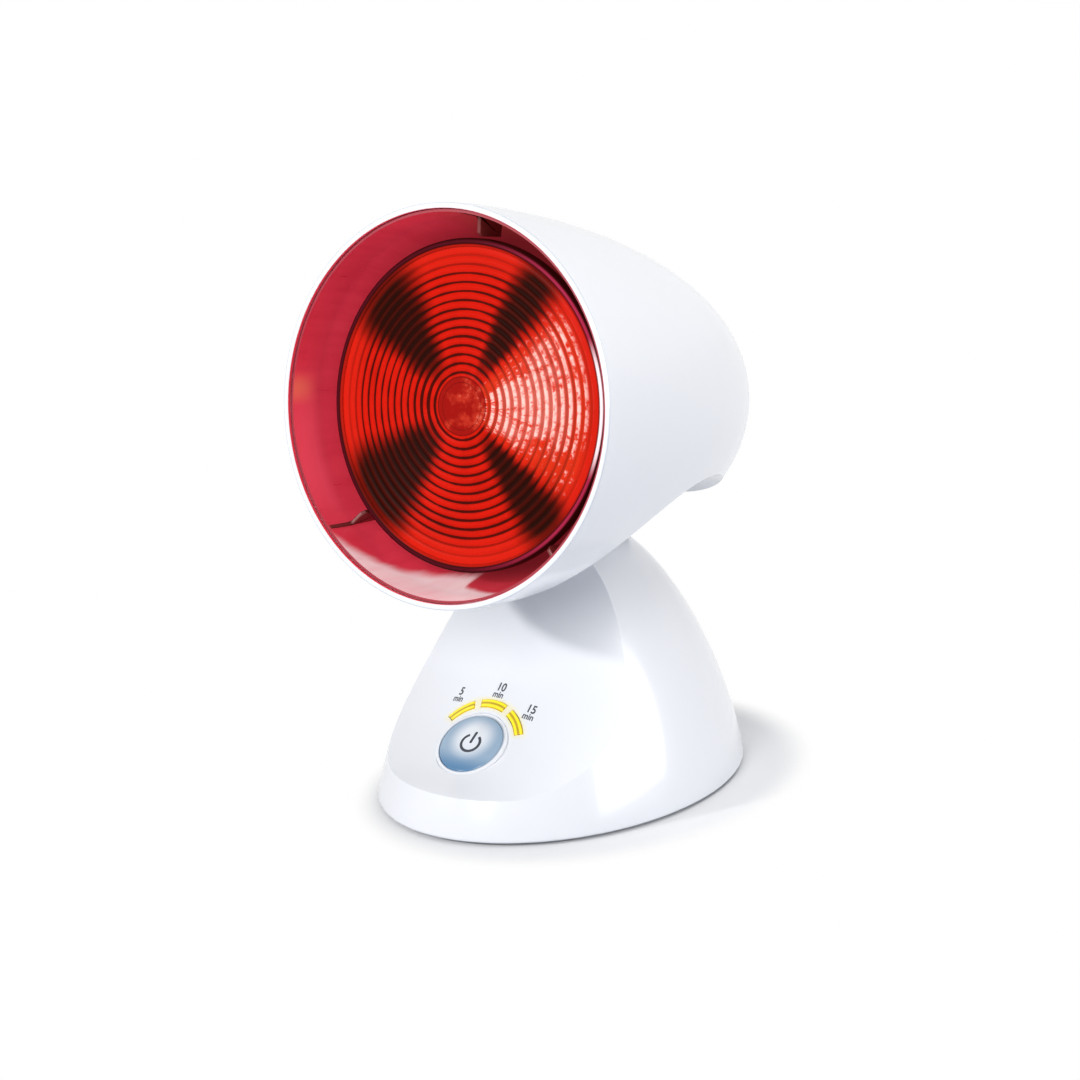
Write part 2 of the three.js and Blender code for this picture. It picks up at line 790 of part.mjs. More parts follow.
function hingePieces() {
  const end = towerOuter + seatGap;
  const groove = end + clipThick + 2 * seatGap;
  const outline = [
    [0, -end - pinHeadThick], [pinHeadRadius, -end - pinHeadThick], [pinHeadRadius, -end],
    [pinRadius, -end], [pinRadius, end], [pinRadius - seatGap, end],
    [pinRadius - seatGap, groove], [pinRadius, groove], [pinRadius, groove + seatGap], [0, groove + seatGap],
  ];
  const pin = piece('hinge_pin', turned(outline).rotateY(Math.PI / 2), steel);
  const clip = piece('hinge_clip', hingeClip(end + seatGap), steel);
  const washers = [-1, 1].map((side) => {
    const washer = tube(pinRadius + turnGap, washerRadius, -washerThick / 2, washerThick / 2, turnedSides);
    const name = side < 0 ? 'hinge_washer_left' : 'hinge_washer_right';
    const mesh = piece(name, washer.rotateY(Math.PI / 2), brass);
    mesh.position.x = side * (cheekOuter + seatGap + washerThick / 2);
    return mesh;
  });
  const group = new THREE.Group();
  group.position.set(0, pivotSet, pivotHeight);
  group.add(pin, clip, ...washers);
  return group;
}

function hingeClip(start) {
  const ring = tube(pinRadius - seatGap + turnGap, pinHeadRadius, start, start + clipThick, turnedSides);
  const mouth = block([pinRadius, pinHeadRadius, 3 * clipThick], [0, -pinHeadRadius / 2, start]);
  return cut(ring, mouth).rotateY(Math.PI / 2);
}

// A leaf spring bent to an open arch whose top is a nose that drops into the notches
function detentSpring() {
  const rest = towerWebTop + seatGap;
  const top = pivotHeight - sectorRadius - seatGap;
  const shoulder = top - springNose - springThick;
  const half = [
    [springHalf, rest], [springHalf, rest + springThick], [springHalf - springThick, rest + springThick],
    [2 * springNose, shoulder], [springNose / 2, top],
  ];
  const under = [[2 * springNose, shoulder - springThick], [springHalf - 2 * springThick, rest]];
  const mirrored = (points) => points.map(([y, z]) => [-y, z]).reverse();
  const outline = [...half, ...mirrored(half), ...mirrored(under), ...under];
  const middle = cheekInner + cheekThick / 2;
  const strip = plateAlongX(shapeOf(outline), middle - springWidth / 2, middle + springWidth / 2);
  return piece('detent_spring', strip.translate(0, pivotSet, 0), steel);
}

// Head pieces, in a frame whose +Z is the lamp's facing direction and whose origin is the rim's middle

function shadeRadius(back, inset = 0) {
  const share = Math.max(0, 1 - (back / (shadeLength - inset)) ** shadeSidePower);
  return (rimRadius - inset) * share ** (1 / shadeEndPower);
}

function shadeOutline(inset, start) {
  const points = [];
  for (let i = 0; i <= shadeSteps; i += 1) {
    const turn = (Math.PI / 2) * (i / shadeSteps) ** shadeSpacingShare;
    const back = start + (shadeLength - inset - start) * Math.sin(turn);
    points.push([i === shadeSteps ? 0 : shadeRadius(back, inset), -back]);
  }
  return points;
}

const shellBossPlaces = [-1, 1].map((side) => [side * shellBossSet, -shellBossDrop]);
const shellBossFront = housingBack + seatGap;

function headShell() {
  const inner = shadeOutline(shadeWall, rimLipDepth).reverse();
  const outline = [...shadeOutline(0, 0), ...inner, [rimLipRadius, -rimLipDepth], [rimLipRadius, 0]];
  const skin = turned(outline, formSides);
  const full = turned([...shadeOutline(0, 0), [0, 0]], formSides);
  const bosses = shellBossPlaces.map(([x, y]) => {
    const boss = rod(shellBossRadius, -shadeLength, -shellBossFront).translate(x, y, 0);
    return common(boss, full);
  });
  const arch = barAlongX(archRadius, -rimRadius - overrun, rimRadius + overrun,
    [-archDrop, -archBack], formSides);
  const wells = shellBossPlaces.flatMap(([x, y]) => [
    rod(screwHeadRadius + slideGap, -shadeLength - overrun, -shellBossFront - shellBossFloor),
    rod(screwShank + seatGap, -shadeLength, overrun - shellBossFront, screwSides),
  ].map((hole) => hole.translate(x, y, 0)));
  const vents = Array.from({ length: ventCount }, (_, i) => {
    const y = ventLift + i * ventPitch;
    const size = [2 * ventHalfWidth, ventHeight, housingRadius];
    return block(size, [0, y, -shadeLength]);
  });
  return piece('head_shell', cut(join(skin, ...bosses), arch, ...wells, ...vents), whitePlastic);
}

// Radius of the bulb's reflector bowl at a distance behind its rim
function bowlRadius(behind) {
  const share = Math.max(0, (bowlDepth - behind) / (bowlDepth - bowlBand));
  return Math.sqrt(bowlNeck ** 2 + ((bulbRadius - bowlWall / 4) ** 2 - bowlNeck ** 2) * share);
}

function linerInner(back) {
  const underShell = shadeRadius(back, shadeWall) - slideGap - linerWall;
  return Math.min(underShell, bowlRadius(back - bulbBack) + linerAir);
}

function linerOutline(offset, end = linerEnd) {
  const front = rimLipDepth + seatGap;
  return Array.from({ length: linerSteps + 1 }, (_, i) => {
    const back = THREE.MathUtils.lerp(front, end, i / linerSteps);
    return [linerInner(back) + offset, -back];
  });
}

function bulbGuide(angle) {
  const hold = bulbRadius + bulbGuideGap;
  const wall = linerInner(0) + linerWall;
  const ridge = linerInner(guideStep) - guideRidge;
  const points = [
    [wall, -guideFront], [ridge, -guideFront], [ridge, -guideStep], [hold + guideRidge, -guideStep],
    [hold, -guideStep - guideRidge], [hold, -guideBack], [wall, -guideBack],
  ];
  const fin = plateAlongX(shapeOf(points), -guideThick / 2, guideThick / 2);
  return fin.rotateZ(-radians(angle));
}

function shadeLiner() {
  const skin = turned([...linerOutline(0), ...linerOutline(linerWall).reverse()], formSides);
  const envelope = turned([[0, -rimLipDepth - seatGap], ...linerOutline(linerWall / 2), [0, -linerEnd]],
    formSides);
  const angles = Array.from({ length: guideCount }, (_, i) => (i - 1) * guideSideAngle);
  const guides = angles.map((angle) => common(bulbGuide(angle), envelope));
  const holes = rivetPlaces.map(rivetHole);
  return piece('shade_liner', cut(join(skin, ...guides), ...holes), crimsonWall);
}

const rivetPlaces = [rivetInsetShare, 1 - rivetInsetShare].map((share) => {
  return THREE.MathUtils.lerp(saddleFront, saddleEnd, share);
});

function saddleBand(offset) {
  const points = [];
  for (let i = 0; i <= saddleSteps; i += 1) {
    const back = THREE.MathUtils.lerp(saddleFront, saddleEnd, i / saddleSteps);
    points.push([linerInner(back) + linerWall + offset, -back]);
  }
  return points;
}

function tiltSaddle() {
  const band = turned([...saddleBand(seatGap), ...saddleBand(seatGap + saddleThick).reverse()], formSides);
  const spread = 2 * rimRadius * Math.tan(radians(saddleSpread));
  const wedge = raised(shapeOf([[0, 0], [-spread, -2 * rimRadius], [spread, -2 * rimRadius]]),
    -saddleEnd - overrun, -saddleFront + overrun);
  const pad = common(band, wedge);
  const liner = turned([[0, 0], ...linerOutline(linerWall + seatGap, saddleEnd + overrun),
    [0, -saddleEnd - overrun]], formSides);
  const cheeks = [[-cheekOuter, -cheekInner], [cheekInner, cheekOuter]]
    .map(([from, to]) => plateAlongX(cheekShape(), from, to));
  const bore = barAlongX(pinRadius + turnGap, -cheekOuter - overrun, cheekOuter + overrun,
    [-pivotDrop, -pivotBack]);
  const rivetHoles = rivetPlaces.map(rivetHole);
  const body = cut(join(pad, ...cheeks), liner, bore, ...notches(), ...rivetHoles);
  return piece('tilt_saddle', body, whitePlastic);
}

// A cheek seen from the side: an upright over the pin with a notched sector under it
function cheekShape() {
  const shape = new THREE.Shape();
  const first = radians(headTilt - tiltDown - tiltStep);
  const last = radians(headTilt + tiltUp + tiltStep);
  const at = (angle) => [
    -pivotDrop - sectorRadius * Math.cos(angle), -pivotBack - sectorRadius * Math.sin(angle),
  ];
  shape.moveTo(-pivotDrop, -pivotBack + cheekHalfWidth);
  for (let i = 0; i <= smallSides; i += 1) {
    shape.lineTo(...at(THREE.MathUtils.lerp(first, last, i / smallSides)));
  }
  shape.lineTo(cheekStraight - pivotDrop, -pivotBack - cheekHalfWidth);
  shape.lineTo(-linerInner(saddleEnd) - linerWall, -saddleEnd + seatGap);
  shape.lineTo(-linerInner(saddleEnd), -saddleFront - seatGap);
  shape.lineTo(-linerInner(saddleFront) - linerWall, -saddleFront - seatGap);
  shape.lineTo(cheekStraight - pivotDrop, -pivotBack + cheekHalfWidth);
  shape.closePath();
  return shape;
}

function notches() {
  const count = (tiltDown + tiltUp) / tiltStep + 1;
  return Array.from({ length: count }, (_, i) => {
    const angle = radians(headTilt - tiltDown + i * tiltStep);
    const place = [
      -pivotDrop - sectorRadius * Math.cos(angle), -pivotBack - sectorRadius * Math.sin(angle),
    ];
    return barAlongX(notchRadius, cheekInner - overrun, cheekOuter + overrun, place, screwSides);
  });
}

// The frame of a rivet: on the reflector's inner wall, local z pointing to the lamp's axis
function rivetFrame(back) {
  const slope = (linerInner(back - rivetHead) - linerInner(back + rivetHead)) / (2 * rivetHead);
  const frame = new THREE.Matrix4().makeRotationX(Math.atan(slope) - Math.PI / 2);
  return frame.setPosition(0, -linerInner(back), -back);
}

function rivetHole(back) {
  const reach = linerWall + saddleThick + overrun;
  return rod(rivetRadius + seatGap, -reach, overrun).applyMatrix4(rivetFrame(back));
}

function saddleRivets() {
  const inner = seatGap + rivetSink;
  const outer = -linerWall - seatGap - saddleThick - seatGap - rivetSink;
  const outline = [
    [0, inner + rivetHeadHeight], [rivetHead / 2, inner + rivetHeadHeight], [rivetHead, inner],
    [rivetRadius, inner], [rivetRadius, outer], [rivetHead, outer],
    [rivetHead / 2, outer - rivetHeadHeight], [0, outer - rivetHeadHeight],
  ];
  return rivetPlaces.map((back, i) => {
    const rivet = piece(`saddle_rivet_${i + 1}`, turned(outline, smallSides), steel);
    rivet.applyMatrix4(rivetFrame(back));
    return rivet;
  });
}

function holderHousing() {
  const front = linerInner(linerEnd) + linerWall;
  const bend = THREE.MathUtils.lerp(housingFront, housingBack, housingBendShare);
  const outline = [
    [front, -housingFront], [housingRadius, -bend], [housingRadius, -housingBack + housingWall],
    [housingRadius - housingWall, -housingBack], [0, -housingBack], [0, -housingBack + housingWall],
    [housingRadius - housingWall, -housingBack + housingWall], [housingRadius - housingWall, -bend],
    [front - housingWall, -housingFront],
  ];
  const holes = shellBossPlaces.map(([x, y]) => {
    return rod(screwShank + seatGap, -housingBack - overrun, -housingBack + housingWall + seatGap,
      screwSides).translate(x, y, 0);
  });
  return piece('holder_housing', cut(turned(outline), ...holes), innerWhite);
}

function shellScrews() {
  return shellBossPlaces.map(([x, y], i) => {
    const length = shellBossFloor + 3 * seatGap + housingWall;
    const screw = piece(`shell_screw_${i + 1}`, slottedScrew(screwShank, length), steel);
    screw.position.set(x, y, -shellBossFront - shellBossFloor - seatGap);
    return screw;
  });
}

function lampHolder() {
  const boreBack = tipBack + seatGap + contactHeight + seatGap;
  const bore = capShellRadius + slideGap + sleeveWall + seatGap;
  const outline = [
    [bore, -holderFront], [holderRadius - holderFloor / 4, -holderFront],
    [holderRadius, -holderFront - holderFloor / 4], [holderRadius, -holderBack + holderFloor / 2],
    [holderRadius - holderFloor / 2, -holderBack], [0, -holderBack], [0, -boreBack], [bore, -boreBack],
  ];
  const inner = capShellRadius + slideGap;
  const sleeve = tube(inner, inner + sleeveWall, -capBack, -holderFront - sleeveLead, turnedSides);
  const contact = [
    [0, -boreBack + seatGap], [capTipRadius + capTipHeight, -boreBack + seatGap],
    [capTipRadius + capTipHeight, -boreBack + seatGap + contactHeight / 2],
    [capTipRadius / 2, -tipBack - seatGap], [0, -tipBack - seatGap],
  ];
  return [
    piece('lampholder', turned(outline), porcelain),
    piece('holder_sleeve', sleeve, brass),
    piece('holder_contact', turned(contact, smallSides), brass),
  ];
}

// Bulb pieces, in the same frame as the head

function lensFront(radius) {
  const open = bulbRadius - lensRimWidth;
  return -bulbBack + lensBulge * (1 - (radius / open) ** 2);
}

function bulbLens() {
  const open = bulbRadius - lensRimWidth;
  const outline = lensSharesOut.map((share) => [open * share, lensFront(open * share)]);
  const back = -bulbBack - lensThick;
  outline.push(
    [open + lensRimStand, lensFront(open) + lensRimStand],
    [bulbRadius - lensRimStand, lensFront(open) + lensRimStand], [bulbRadius, lensFront(open)],
    [bulbRadius, back], [open, back],
  );
  [...lensSharesOut].reverse().slice(1).forEach((share) => {
    outline.push([open * share, lensFront(open * share) - lensThick]);
  });
  return piece('bulb_lens', turned(outline, lensSides), redGlass);
}

function bulbBowl() {
  const front = bulbBack + lensThick + seatGap;
  const outer = [[bulbRadius, -front]];
  const inner = [[bulbRadius - bowlWall, -front]];
  for (let i = 1; i <= bowlSteps; i += 1) {
    const share = (i / bowlSteps) ** bowlSpacingShare;
    const behind = THREE.MathUtils.lerp(front - bulbBack + bowlBand / 2, bowlDepth, share);
    outer.push([bowlRadius(behind), -bulbBack - behind]);
    inner.push([bowlRadius(behind) - bowlWall, -bulbBack - behind]);
  }
  return piece('bulb_bowl', turned([...outer, ...inner.reverse()], lensSides), darkGlass);
}

function bulbCap() {
  const outline = [
    [0, -capFront], [bowlNeck - bowlWall, -capFront], [capShellRadius, -capFront - capCollar],
  ];
  for (let i = 0; i < capThreadCount; i += 1) {
    const start = capFront + capCollar + i * capThreadPitch;
    outline.push([capShellRadius - capThreadDepth, -start - capThreadPitch / 3]);
    outline.push([capShellRadius, -start - (2 * capThreadPitch) / 3]);
  }
  outline.push([capShellRadius - capThreadDepth, -capBack], [0, -capBack]);
  const insulatorFront = capBack + seatGap;
  const insulatorBack = insulatorFront + capInsulatorHeight;
  const insulator = [
    [0, -insulatorFront], [capShellRadius - 3 * capThreadDepth, -insulatorFront],
    [capTipRadius + capThreadDepth, -insulatorBack], [0, -insulatorBack],
  ];
  const tipFront = insulatorBack + seatGap;
  const tip = [[0, -tipFront], [capTipRadius, -tipFront], [capTipRadius / 2, -tipBack], [0, -tipBack]];
  return [
    piece('bulb_cap', turned(outline), brass),
    piece('cap_insulator', turned(insulator, smallSides), blackPart),
    piece('cap_tip', turned(tip, smallSides), silver),
  ];
}

function filament() {
  const back = bowlEnd - seatGap;
  const neck = bowlNeck - bowlWall - seatGap;
  const front = back - stemLength;
  const stem = turned([
    [0, -front], [stemRadius, -front], [stemRadius, -back + stemLength / 3], [neck, -back], [0, -back],
  ], smallSides);
  const places = Array.from({ length: filamentSteps + 1 }, (_, i) => {
    const angle = Math.PI * (i / filamentSteps) - Math.PI / 2;
    const x = filamentRadius * Math.sin(angle);
    return new THREE.Vector3(x, 0, -front + seatGap + filamentWire + filamentRadius * (1 - Math.cos(angle)));
  });
  const section = new THREE.Shape().absarc(0, 0, filamentWire, 0, 2 * Math.PI, false);
  const path = new THREE.CatmullRomCurve3(places);
  const settings = { steps: 2 * filamentSteps, extrudePath: path, curveSegments: wireSides };
  return [
    piece('filament_stem', stem, porcelain),
    piece('bulb_filament', new THREE.ExtrudeGeometry(section, settings), steel),
  ];
}

// The assembly

function controls() {
  const group = new THREE.Group();
  group.applyMatrix4(controlsFrame());
  group.add(buttonRing(), powerButton(), switchPlunger(), timerSwitch(), timerBoard(), ...timerWindows());
  return group;
}

function head() {
  const group = new THREE.Group();
  group.rotation.x = Math.PI / 2 - radians(headTilt);
  const pivot = new THREE.Vector3(0, -pivotDrop, -pivotBack).applyEuler(group.rotation);
  group.position.set(0, pivotSet - pivot.y, pivotHeight - pivot.z);
  group.add(headShell(), shadeLiner(), tiltSaddle(), ...saddleRivets(), holderHousing(), ...shellScrews());
  group.add(...lampHolder(), bulbLens(), bulbBowl(), ...bulbCap(), ...filament());
  return group;
}

function lamp() {
  const group = new THREE.Group();
  group.add(baseShell(), basePlate(), ...baseScrews(), ...feet(), cordGland(), controls());
  group.add(...powerParts(), hingeTower(), ...towerScrews(), hingePieces(), detentSpring(), head());
  return group;
}

const heatLamp = lamp();
heatLamp.updateMatrixWorld(true);
const extent = new THREE.Box3().setFromObject(heatLamp, true);
heatLamp.position.y = -(extent.min.y + extent.max.y) / 2;

export default heatLamp;
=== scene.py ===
import json
import math

import bpy
from bpy.props import FloatProperty, FloatVectorProperty, IntProperty, PointerProperty
from mathutils import Matrix, Vector


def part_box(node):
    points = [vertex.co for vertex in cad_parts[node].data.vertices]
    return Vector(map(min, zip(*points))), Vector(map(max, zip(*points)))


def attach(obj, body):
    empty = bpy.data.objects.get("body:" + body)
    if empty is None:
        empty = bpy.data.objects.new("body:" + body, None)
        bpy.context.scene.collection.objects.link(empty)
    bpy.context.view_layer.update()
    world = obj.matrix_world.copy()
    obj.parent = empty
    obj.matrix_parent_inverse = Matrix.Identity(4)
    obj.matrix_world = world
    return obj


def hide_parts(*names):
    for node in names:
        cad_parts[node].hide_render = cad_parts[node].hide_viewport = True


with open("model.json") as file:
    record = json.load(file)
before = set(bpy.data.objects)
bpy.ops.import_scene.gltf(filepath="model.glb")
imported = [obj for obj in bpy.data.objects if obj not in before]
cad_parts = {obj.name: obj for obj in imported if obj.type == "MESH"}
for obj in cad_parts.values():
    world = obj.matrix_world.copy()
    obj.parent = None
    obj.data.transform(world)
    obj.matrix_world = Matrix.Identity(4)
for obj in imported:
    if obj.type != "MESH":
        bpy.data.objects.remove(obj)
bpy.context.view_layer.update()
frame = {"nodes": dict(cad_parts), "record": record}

bl_info = {
    "name": "Infrared heat lamp",
    "version": (1, 0, 0),
    "blender": (4, 5, 0),
    "location": "View3D > Sidebar > Heat lamp",
    "description": "Dresses the heat lamp's solids and sets up its stage",
    "category": "Object",
}

# Centre line of the swept panel: places as shares of the base's half depth and of its top
PANEL_LINE = (
    (-1.14, 0.1), (-0.947, 0.174), (-0.822, 0.227), (-0.69, 0.308), (-0.571, 0.396),
    (-0.434, 0.521), (-0.32, 0.663), (-0.228, 0.821), (-0.171, 0.963), (-0.13, 1.18),
)
BUTTON_STOP = 3
# Legends: digits, and their place in the controls' frame
LEGENDS = (("5", -0.0172, 0.0213), ("10", -0.0001, 0.0257), ("15", 0.0160, 0.0204))
# Bulb guides: name, and angle round the mouth in degrees
GUIDES = (("left", -137), ("top", 0), ("right", 137))
# Lamps of the stage: name, place and width
LAMPS = (
    ("key", (-0.71, -1.52, 0.73), 0.13),
    ("front", (0.45, -1.68, 0.83), 0.8),
    ("side", (1.8, 0.6, 0.34), 1.4),
    ("top", (0.2, 0.3, 1.9), 1.6),
)
LAMP_AIM = Vector((0, 0, 0.12))
SKY_TINT = (0.90, 0.95, 1.06, 1)
# Heights between which the panel's holes are cut
HOLE_SPAN = (-0.0064, 0.004)
# Reach of the cutters for the neck's slots and the gland's hole
CUTTER_REACH = 0.02
# Distances behind the mouth between which the cover's screw holes are cut
COVER_HOLE = (-0.154, -0.147)
# How far other cutters go past what they cut
OVERSHOOT = 0.004
# Points nearer to each other than this become one
WELD = 0.000002
# Gap between pieces that meet, and the finer one at the reflector's front edge
SEAM = 0.0003
FINE_SEAM = 0.00005
# Length of the shade's screws, and how far their heads stand off the bosses' floors
SHELL_SCREW = 0.0062
HEAD_STAND = 0.0018
# Share of the button's radius that its crown covers
CROWN_SHARE = 0.95
# Power symbol: heights between which it is made, its move from the button's middle,
# and then how far it stands over the crown and goes into it
SYMBOL_SPAN = (0.0006, 0.0016)
SYMBOL_MOVE = (0.0005, -0.0004, 0)
SYMBOL_STAND = 0.00005
SYMBOL_SINK = 0.0002
# Printed legends: stand and depth of the ink, boldness as a share of the size, and width
INK_STAND = 0.00003
INK_DEPTH = 0.00006
LETTER_BOLD = 0.018
LETTER_WIDTH = 0.86


def length(name, default, description):
    return FloatProperty(name=name, description=description, default=default, unit="LENGTH", precision=5)


def plain(name, default, description):
    return FloatProperty(name=name, description=description, default=default, precision=4)


def turn(name, default, description):
    return FloatProperty(name=name, description=description, default=math.radians(default), unit="ROTATION")


def count(name, default, description):
    return IntProperty(name=name, description=description, default=default)


def paint(name, hex_value, description):
    return FloatVectorProperty(name=name, description=description, default=linear(hex_value),
                               subtype="COLOR", size=3, min=0, max=1)


def linear(hex_value):
    """A colour written as 0xRRGGBB, as the linear values that a shader takes."""
    parts = [(hex_value >> shift & 255) / 255 for shift in (16, 8, 0)]
    return tuple(c / 12.92 if c <= 0.04045 else ((c + 0.055) / 1.055) ** 2.4 for c in parts)


class BaseSizes(bpy.types.PropertyGroup):
    half_width: length("Half width", 0.0624, "Half the base's width at the foot")
    half_depth: length("Half depth", 0.0876, "Half the base's depth at the foot")
    dome_height: length("Dome height", 0.105, "Height at which the dome's curve would close")
    rise_power: plain("Rise", 1.3, "Power of the height in the dome's outline")
    fall_power: plain("Fall", 0.54, "Power of the whole in the dome's outline")
    top: length("Top", 0.095, "Height of the dome's flat top")
    lift: length("Lift", 0.0012, "Height of the shell's lower edge above the table")
    edge_round: length("Foot rounding", 0.0012, "Rounding of the lower edge")
    top_round: length("Top rounding", 0.0022, "Rounding of the top's edge")
    wall: length("Wall", 0.0025, "Wall thickness")
    bow: length("Panel bow", 0.107, "Radius of the panel's cross-section")
    reach: length("Cutter reach", 0.07, "Half width of the panel's surface before it is trimmed")
    shift: length("Set back", -0.00114, "Place of the base's middle along Y")
    gland_height: length("Gland height", 0.013, "Height of the cord gland")
    gland_pad: length("Gland pad", 0.0086, "Radius of the pad round the gland")
    gland_stand: length("Pad stand", 0.0024, "Height of the pad over the wall")
    gland_round: length("Pad rounding", 0.0006, "Rounding of the pad's edge")
    gland_hole: length("Gland hole", 0.0055, "Radius of the hole for the gland")
    slot_width: length("Slot width", 0.0039, "Width of the slots for the neck's cheeks")
    slot_length: length("Slot length", 0.0255, "Length of those slots")
    slot_set: length("Slot place", 0.0095, "Distance of those slots from the middle")
    slot_back: length("Slot back", 0.0075, "Distance of those slots' middle behind the base's middle")


class ControlSizes(bpy.types.PropertyGroup):
    button_radius: length("Button radius", 0.0128, "Radius of the push button")
    button_stand: length("Button stand", 0.0005, "Height of the button's edge above the panel")
    button_crown: length("Button crown", 0.0011, "Height of the button's crown")
    button_depth: length("Button skirt", 0.0046, "Depth of the button's skirt")
    ring_gap: length("Ring gap", 0.0003, "Gap between button and ring")
    ring_width: length("Ring width", 0.0011, "Width of the ring round the button")
    ring_lip: length("Ring lip", 0.0004, "Width of the ring's raised inner lip")
    seam: length("Seam", 0.00012, "Visible gap at the button and the ring")
    ring_stand: length("Ring stand", 0.00035, "Height of the ring above the panel")
    ring_depth: length("Ring depth", 0.003, "Depth of the ring below the panel")
    ring_round: length("Ring rounding", 0.00015, "Rounding of the ring's lip")
    symbol_radius: length("Symbol radius", 0.0038, "Middle radius of the power symbol's ring")
    symbol_line: length("Symbol line", 0.00108, "Width of the power symbol's line")
    symbol_gap: turn("Symbol gap", 33, "Angle from the top at which the symbol's ring ends")
    window_inner: length("Window radius", 0.0169, "Inner radius of the lit arcs")
    window_width: length("Window width", 0.0031, "Width of the lit arcs")
    window_span: turn("Window span", 33, "Angle that a lit arc covers")
    window_pitch: turn("Window pitch", 43, "Angle from one lit arc to the next")
    window_stand: length("Window stand", 0.00035, "Height of the arcs above the panel")
    window_depth: length("Window depth", 0.0045, "Depth of the arcs' light guides")
    window_round: length("Window rounding", 0.00022, "Rounding of the arcs' edges")
    digit_size: length("Digit size", 0.0047, "Height setting of the digits")
    unit_size: length("Unit size", 0.0037, "Height setting of the unit under them")
    unit_drop: length("Unit drop", -0.0032, "Move of the unit from the digits")


class ShadeSizes(bpy.types.PropertyGroup):
    rim_radius: length("Rim radius", 0.07295, "Outer radius of the shade's mouth")
    length: length("Length", 0.17, "Length of the shade along its axis")
    side_power: plain("Side power", 1.7, "Power of the length in the shade's outline")
    end_power: plain("End power", 2.527, "Power of the radius in the shade's outline")
    wall: length("Wall", 0.002, "Wall thickness")
    lip_radius: length("Lip radius", 0.0707, "Inner radius of the rim's lip")
    lip_depth: length("Lip depth", 0.0014, "Depth of the rim's lip")
    rim_round: length("Rim rounding", 0.0005, "Width of the rim's rounded edge")
    tilt: turn("Tilt", 8.88, "Angle that the shade faces up by")
    mouth_set: length("Mouth set", -0.07761, "Y of the mouth's middle, from the base's middle")
    mouth_height: length("Mouth height", 0.1614, "Height of the mouth's middle")
    arch_radius: length("Arch radius", 0.0884, "Radius of the arch under the shade")
    arch_back: length("Arch back", 0.0997, "Distance of the arch's middle behind the mouth")
    arch_drop: length("Arch drop", 0.1097, "Distance of the arch's middle below the shade's axis")
    arch_half: length("Arch half width", 0.09, "Half the width of the arch's cutter")
    vents: count("Vents", 4, "Number of vents in the shade's back")
    vent_half: length("Vent half width", 0.017, "Half the width of a vent")
    vent_height: length("Vent height", 0.0026, "Height of a vent")
    vent_pitch: length("Vent pitch", 0.0062, "Distance from one vent to the next")
    vent_lift: length("Vent lift", 0.002, "Height of the lowest vent over the shade's axis")
    vent_depth: length("Vent depth", 0.0237, "Depth of the vents' cutter")
    vent_round: length("Vent rounding", 0.0011, "Rounding of a vent's ends")
    web_low: length("Web low", -0.06, "Lowest place of the web behind the arch, from the shade's axis")
    web_top: length("Web top", -0.0262, "Highest place of that web's middle")
    web_side: length("Web side top", -0.0215, "Highest place of that web's sides")
    web_back: length("Web back", 0.1645, "Distance of that web's back from the mouth")
    web_front: length("Web front", 0.1245, "Distance of the web's middle part from the mouth")
    web_width: length("Web width", 0.03, "Width of the web's middle part")
    wing_front: length("Web side front", 0.1165, "Distance of the web's sides from the mouth")
    wing_width: length("Web side width", 0.06, "Width of each of the web's sides")
    wing_set: length("Web side place", 0.043, "Distance of a side's middle from the shade's middle")
    boss_radius: length("Boss radius", 0.0052, "Radius of the screw bosses")
    boss_set: length("Boss set", 0.015, "Distance of a boss from the middle")
    boss_drop: length("Boss drop", 0.013, "Distance of a boss below the shade's axis")
    boss_front: length("Boss front", 0.1499, "Distance of the bosses' front from the mouth")
    boss_floor: length("Boss floor", 0.002, "Thickness of the floor under the screw head")
    well_radius: length("Well radius", 0.00335, "Radius of the screw wells")
    shank_hole: length("Shank hole", 0.0017, "Radius of the holes for the screws")
    shank_front: length("Shank hole front", 0.1459, "Distance of those holes' front from the mouth")


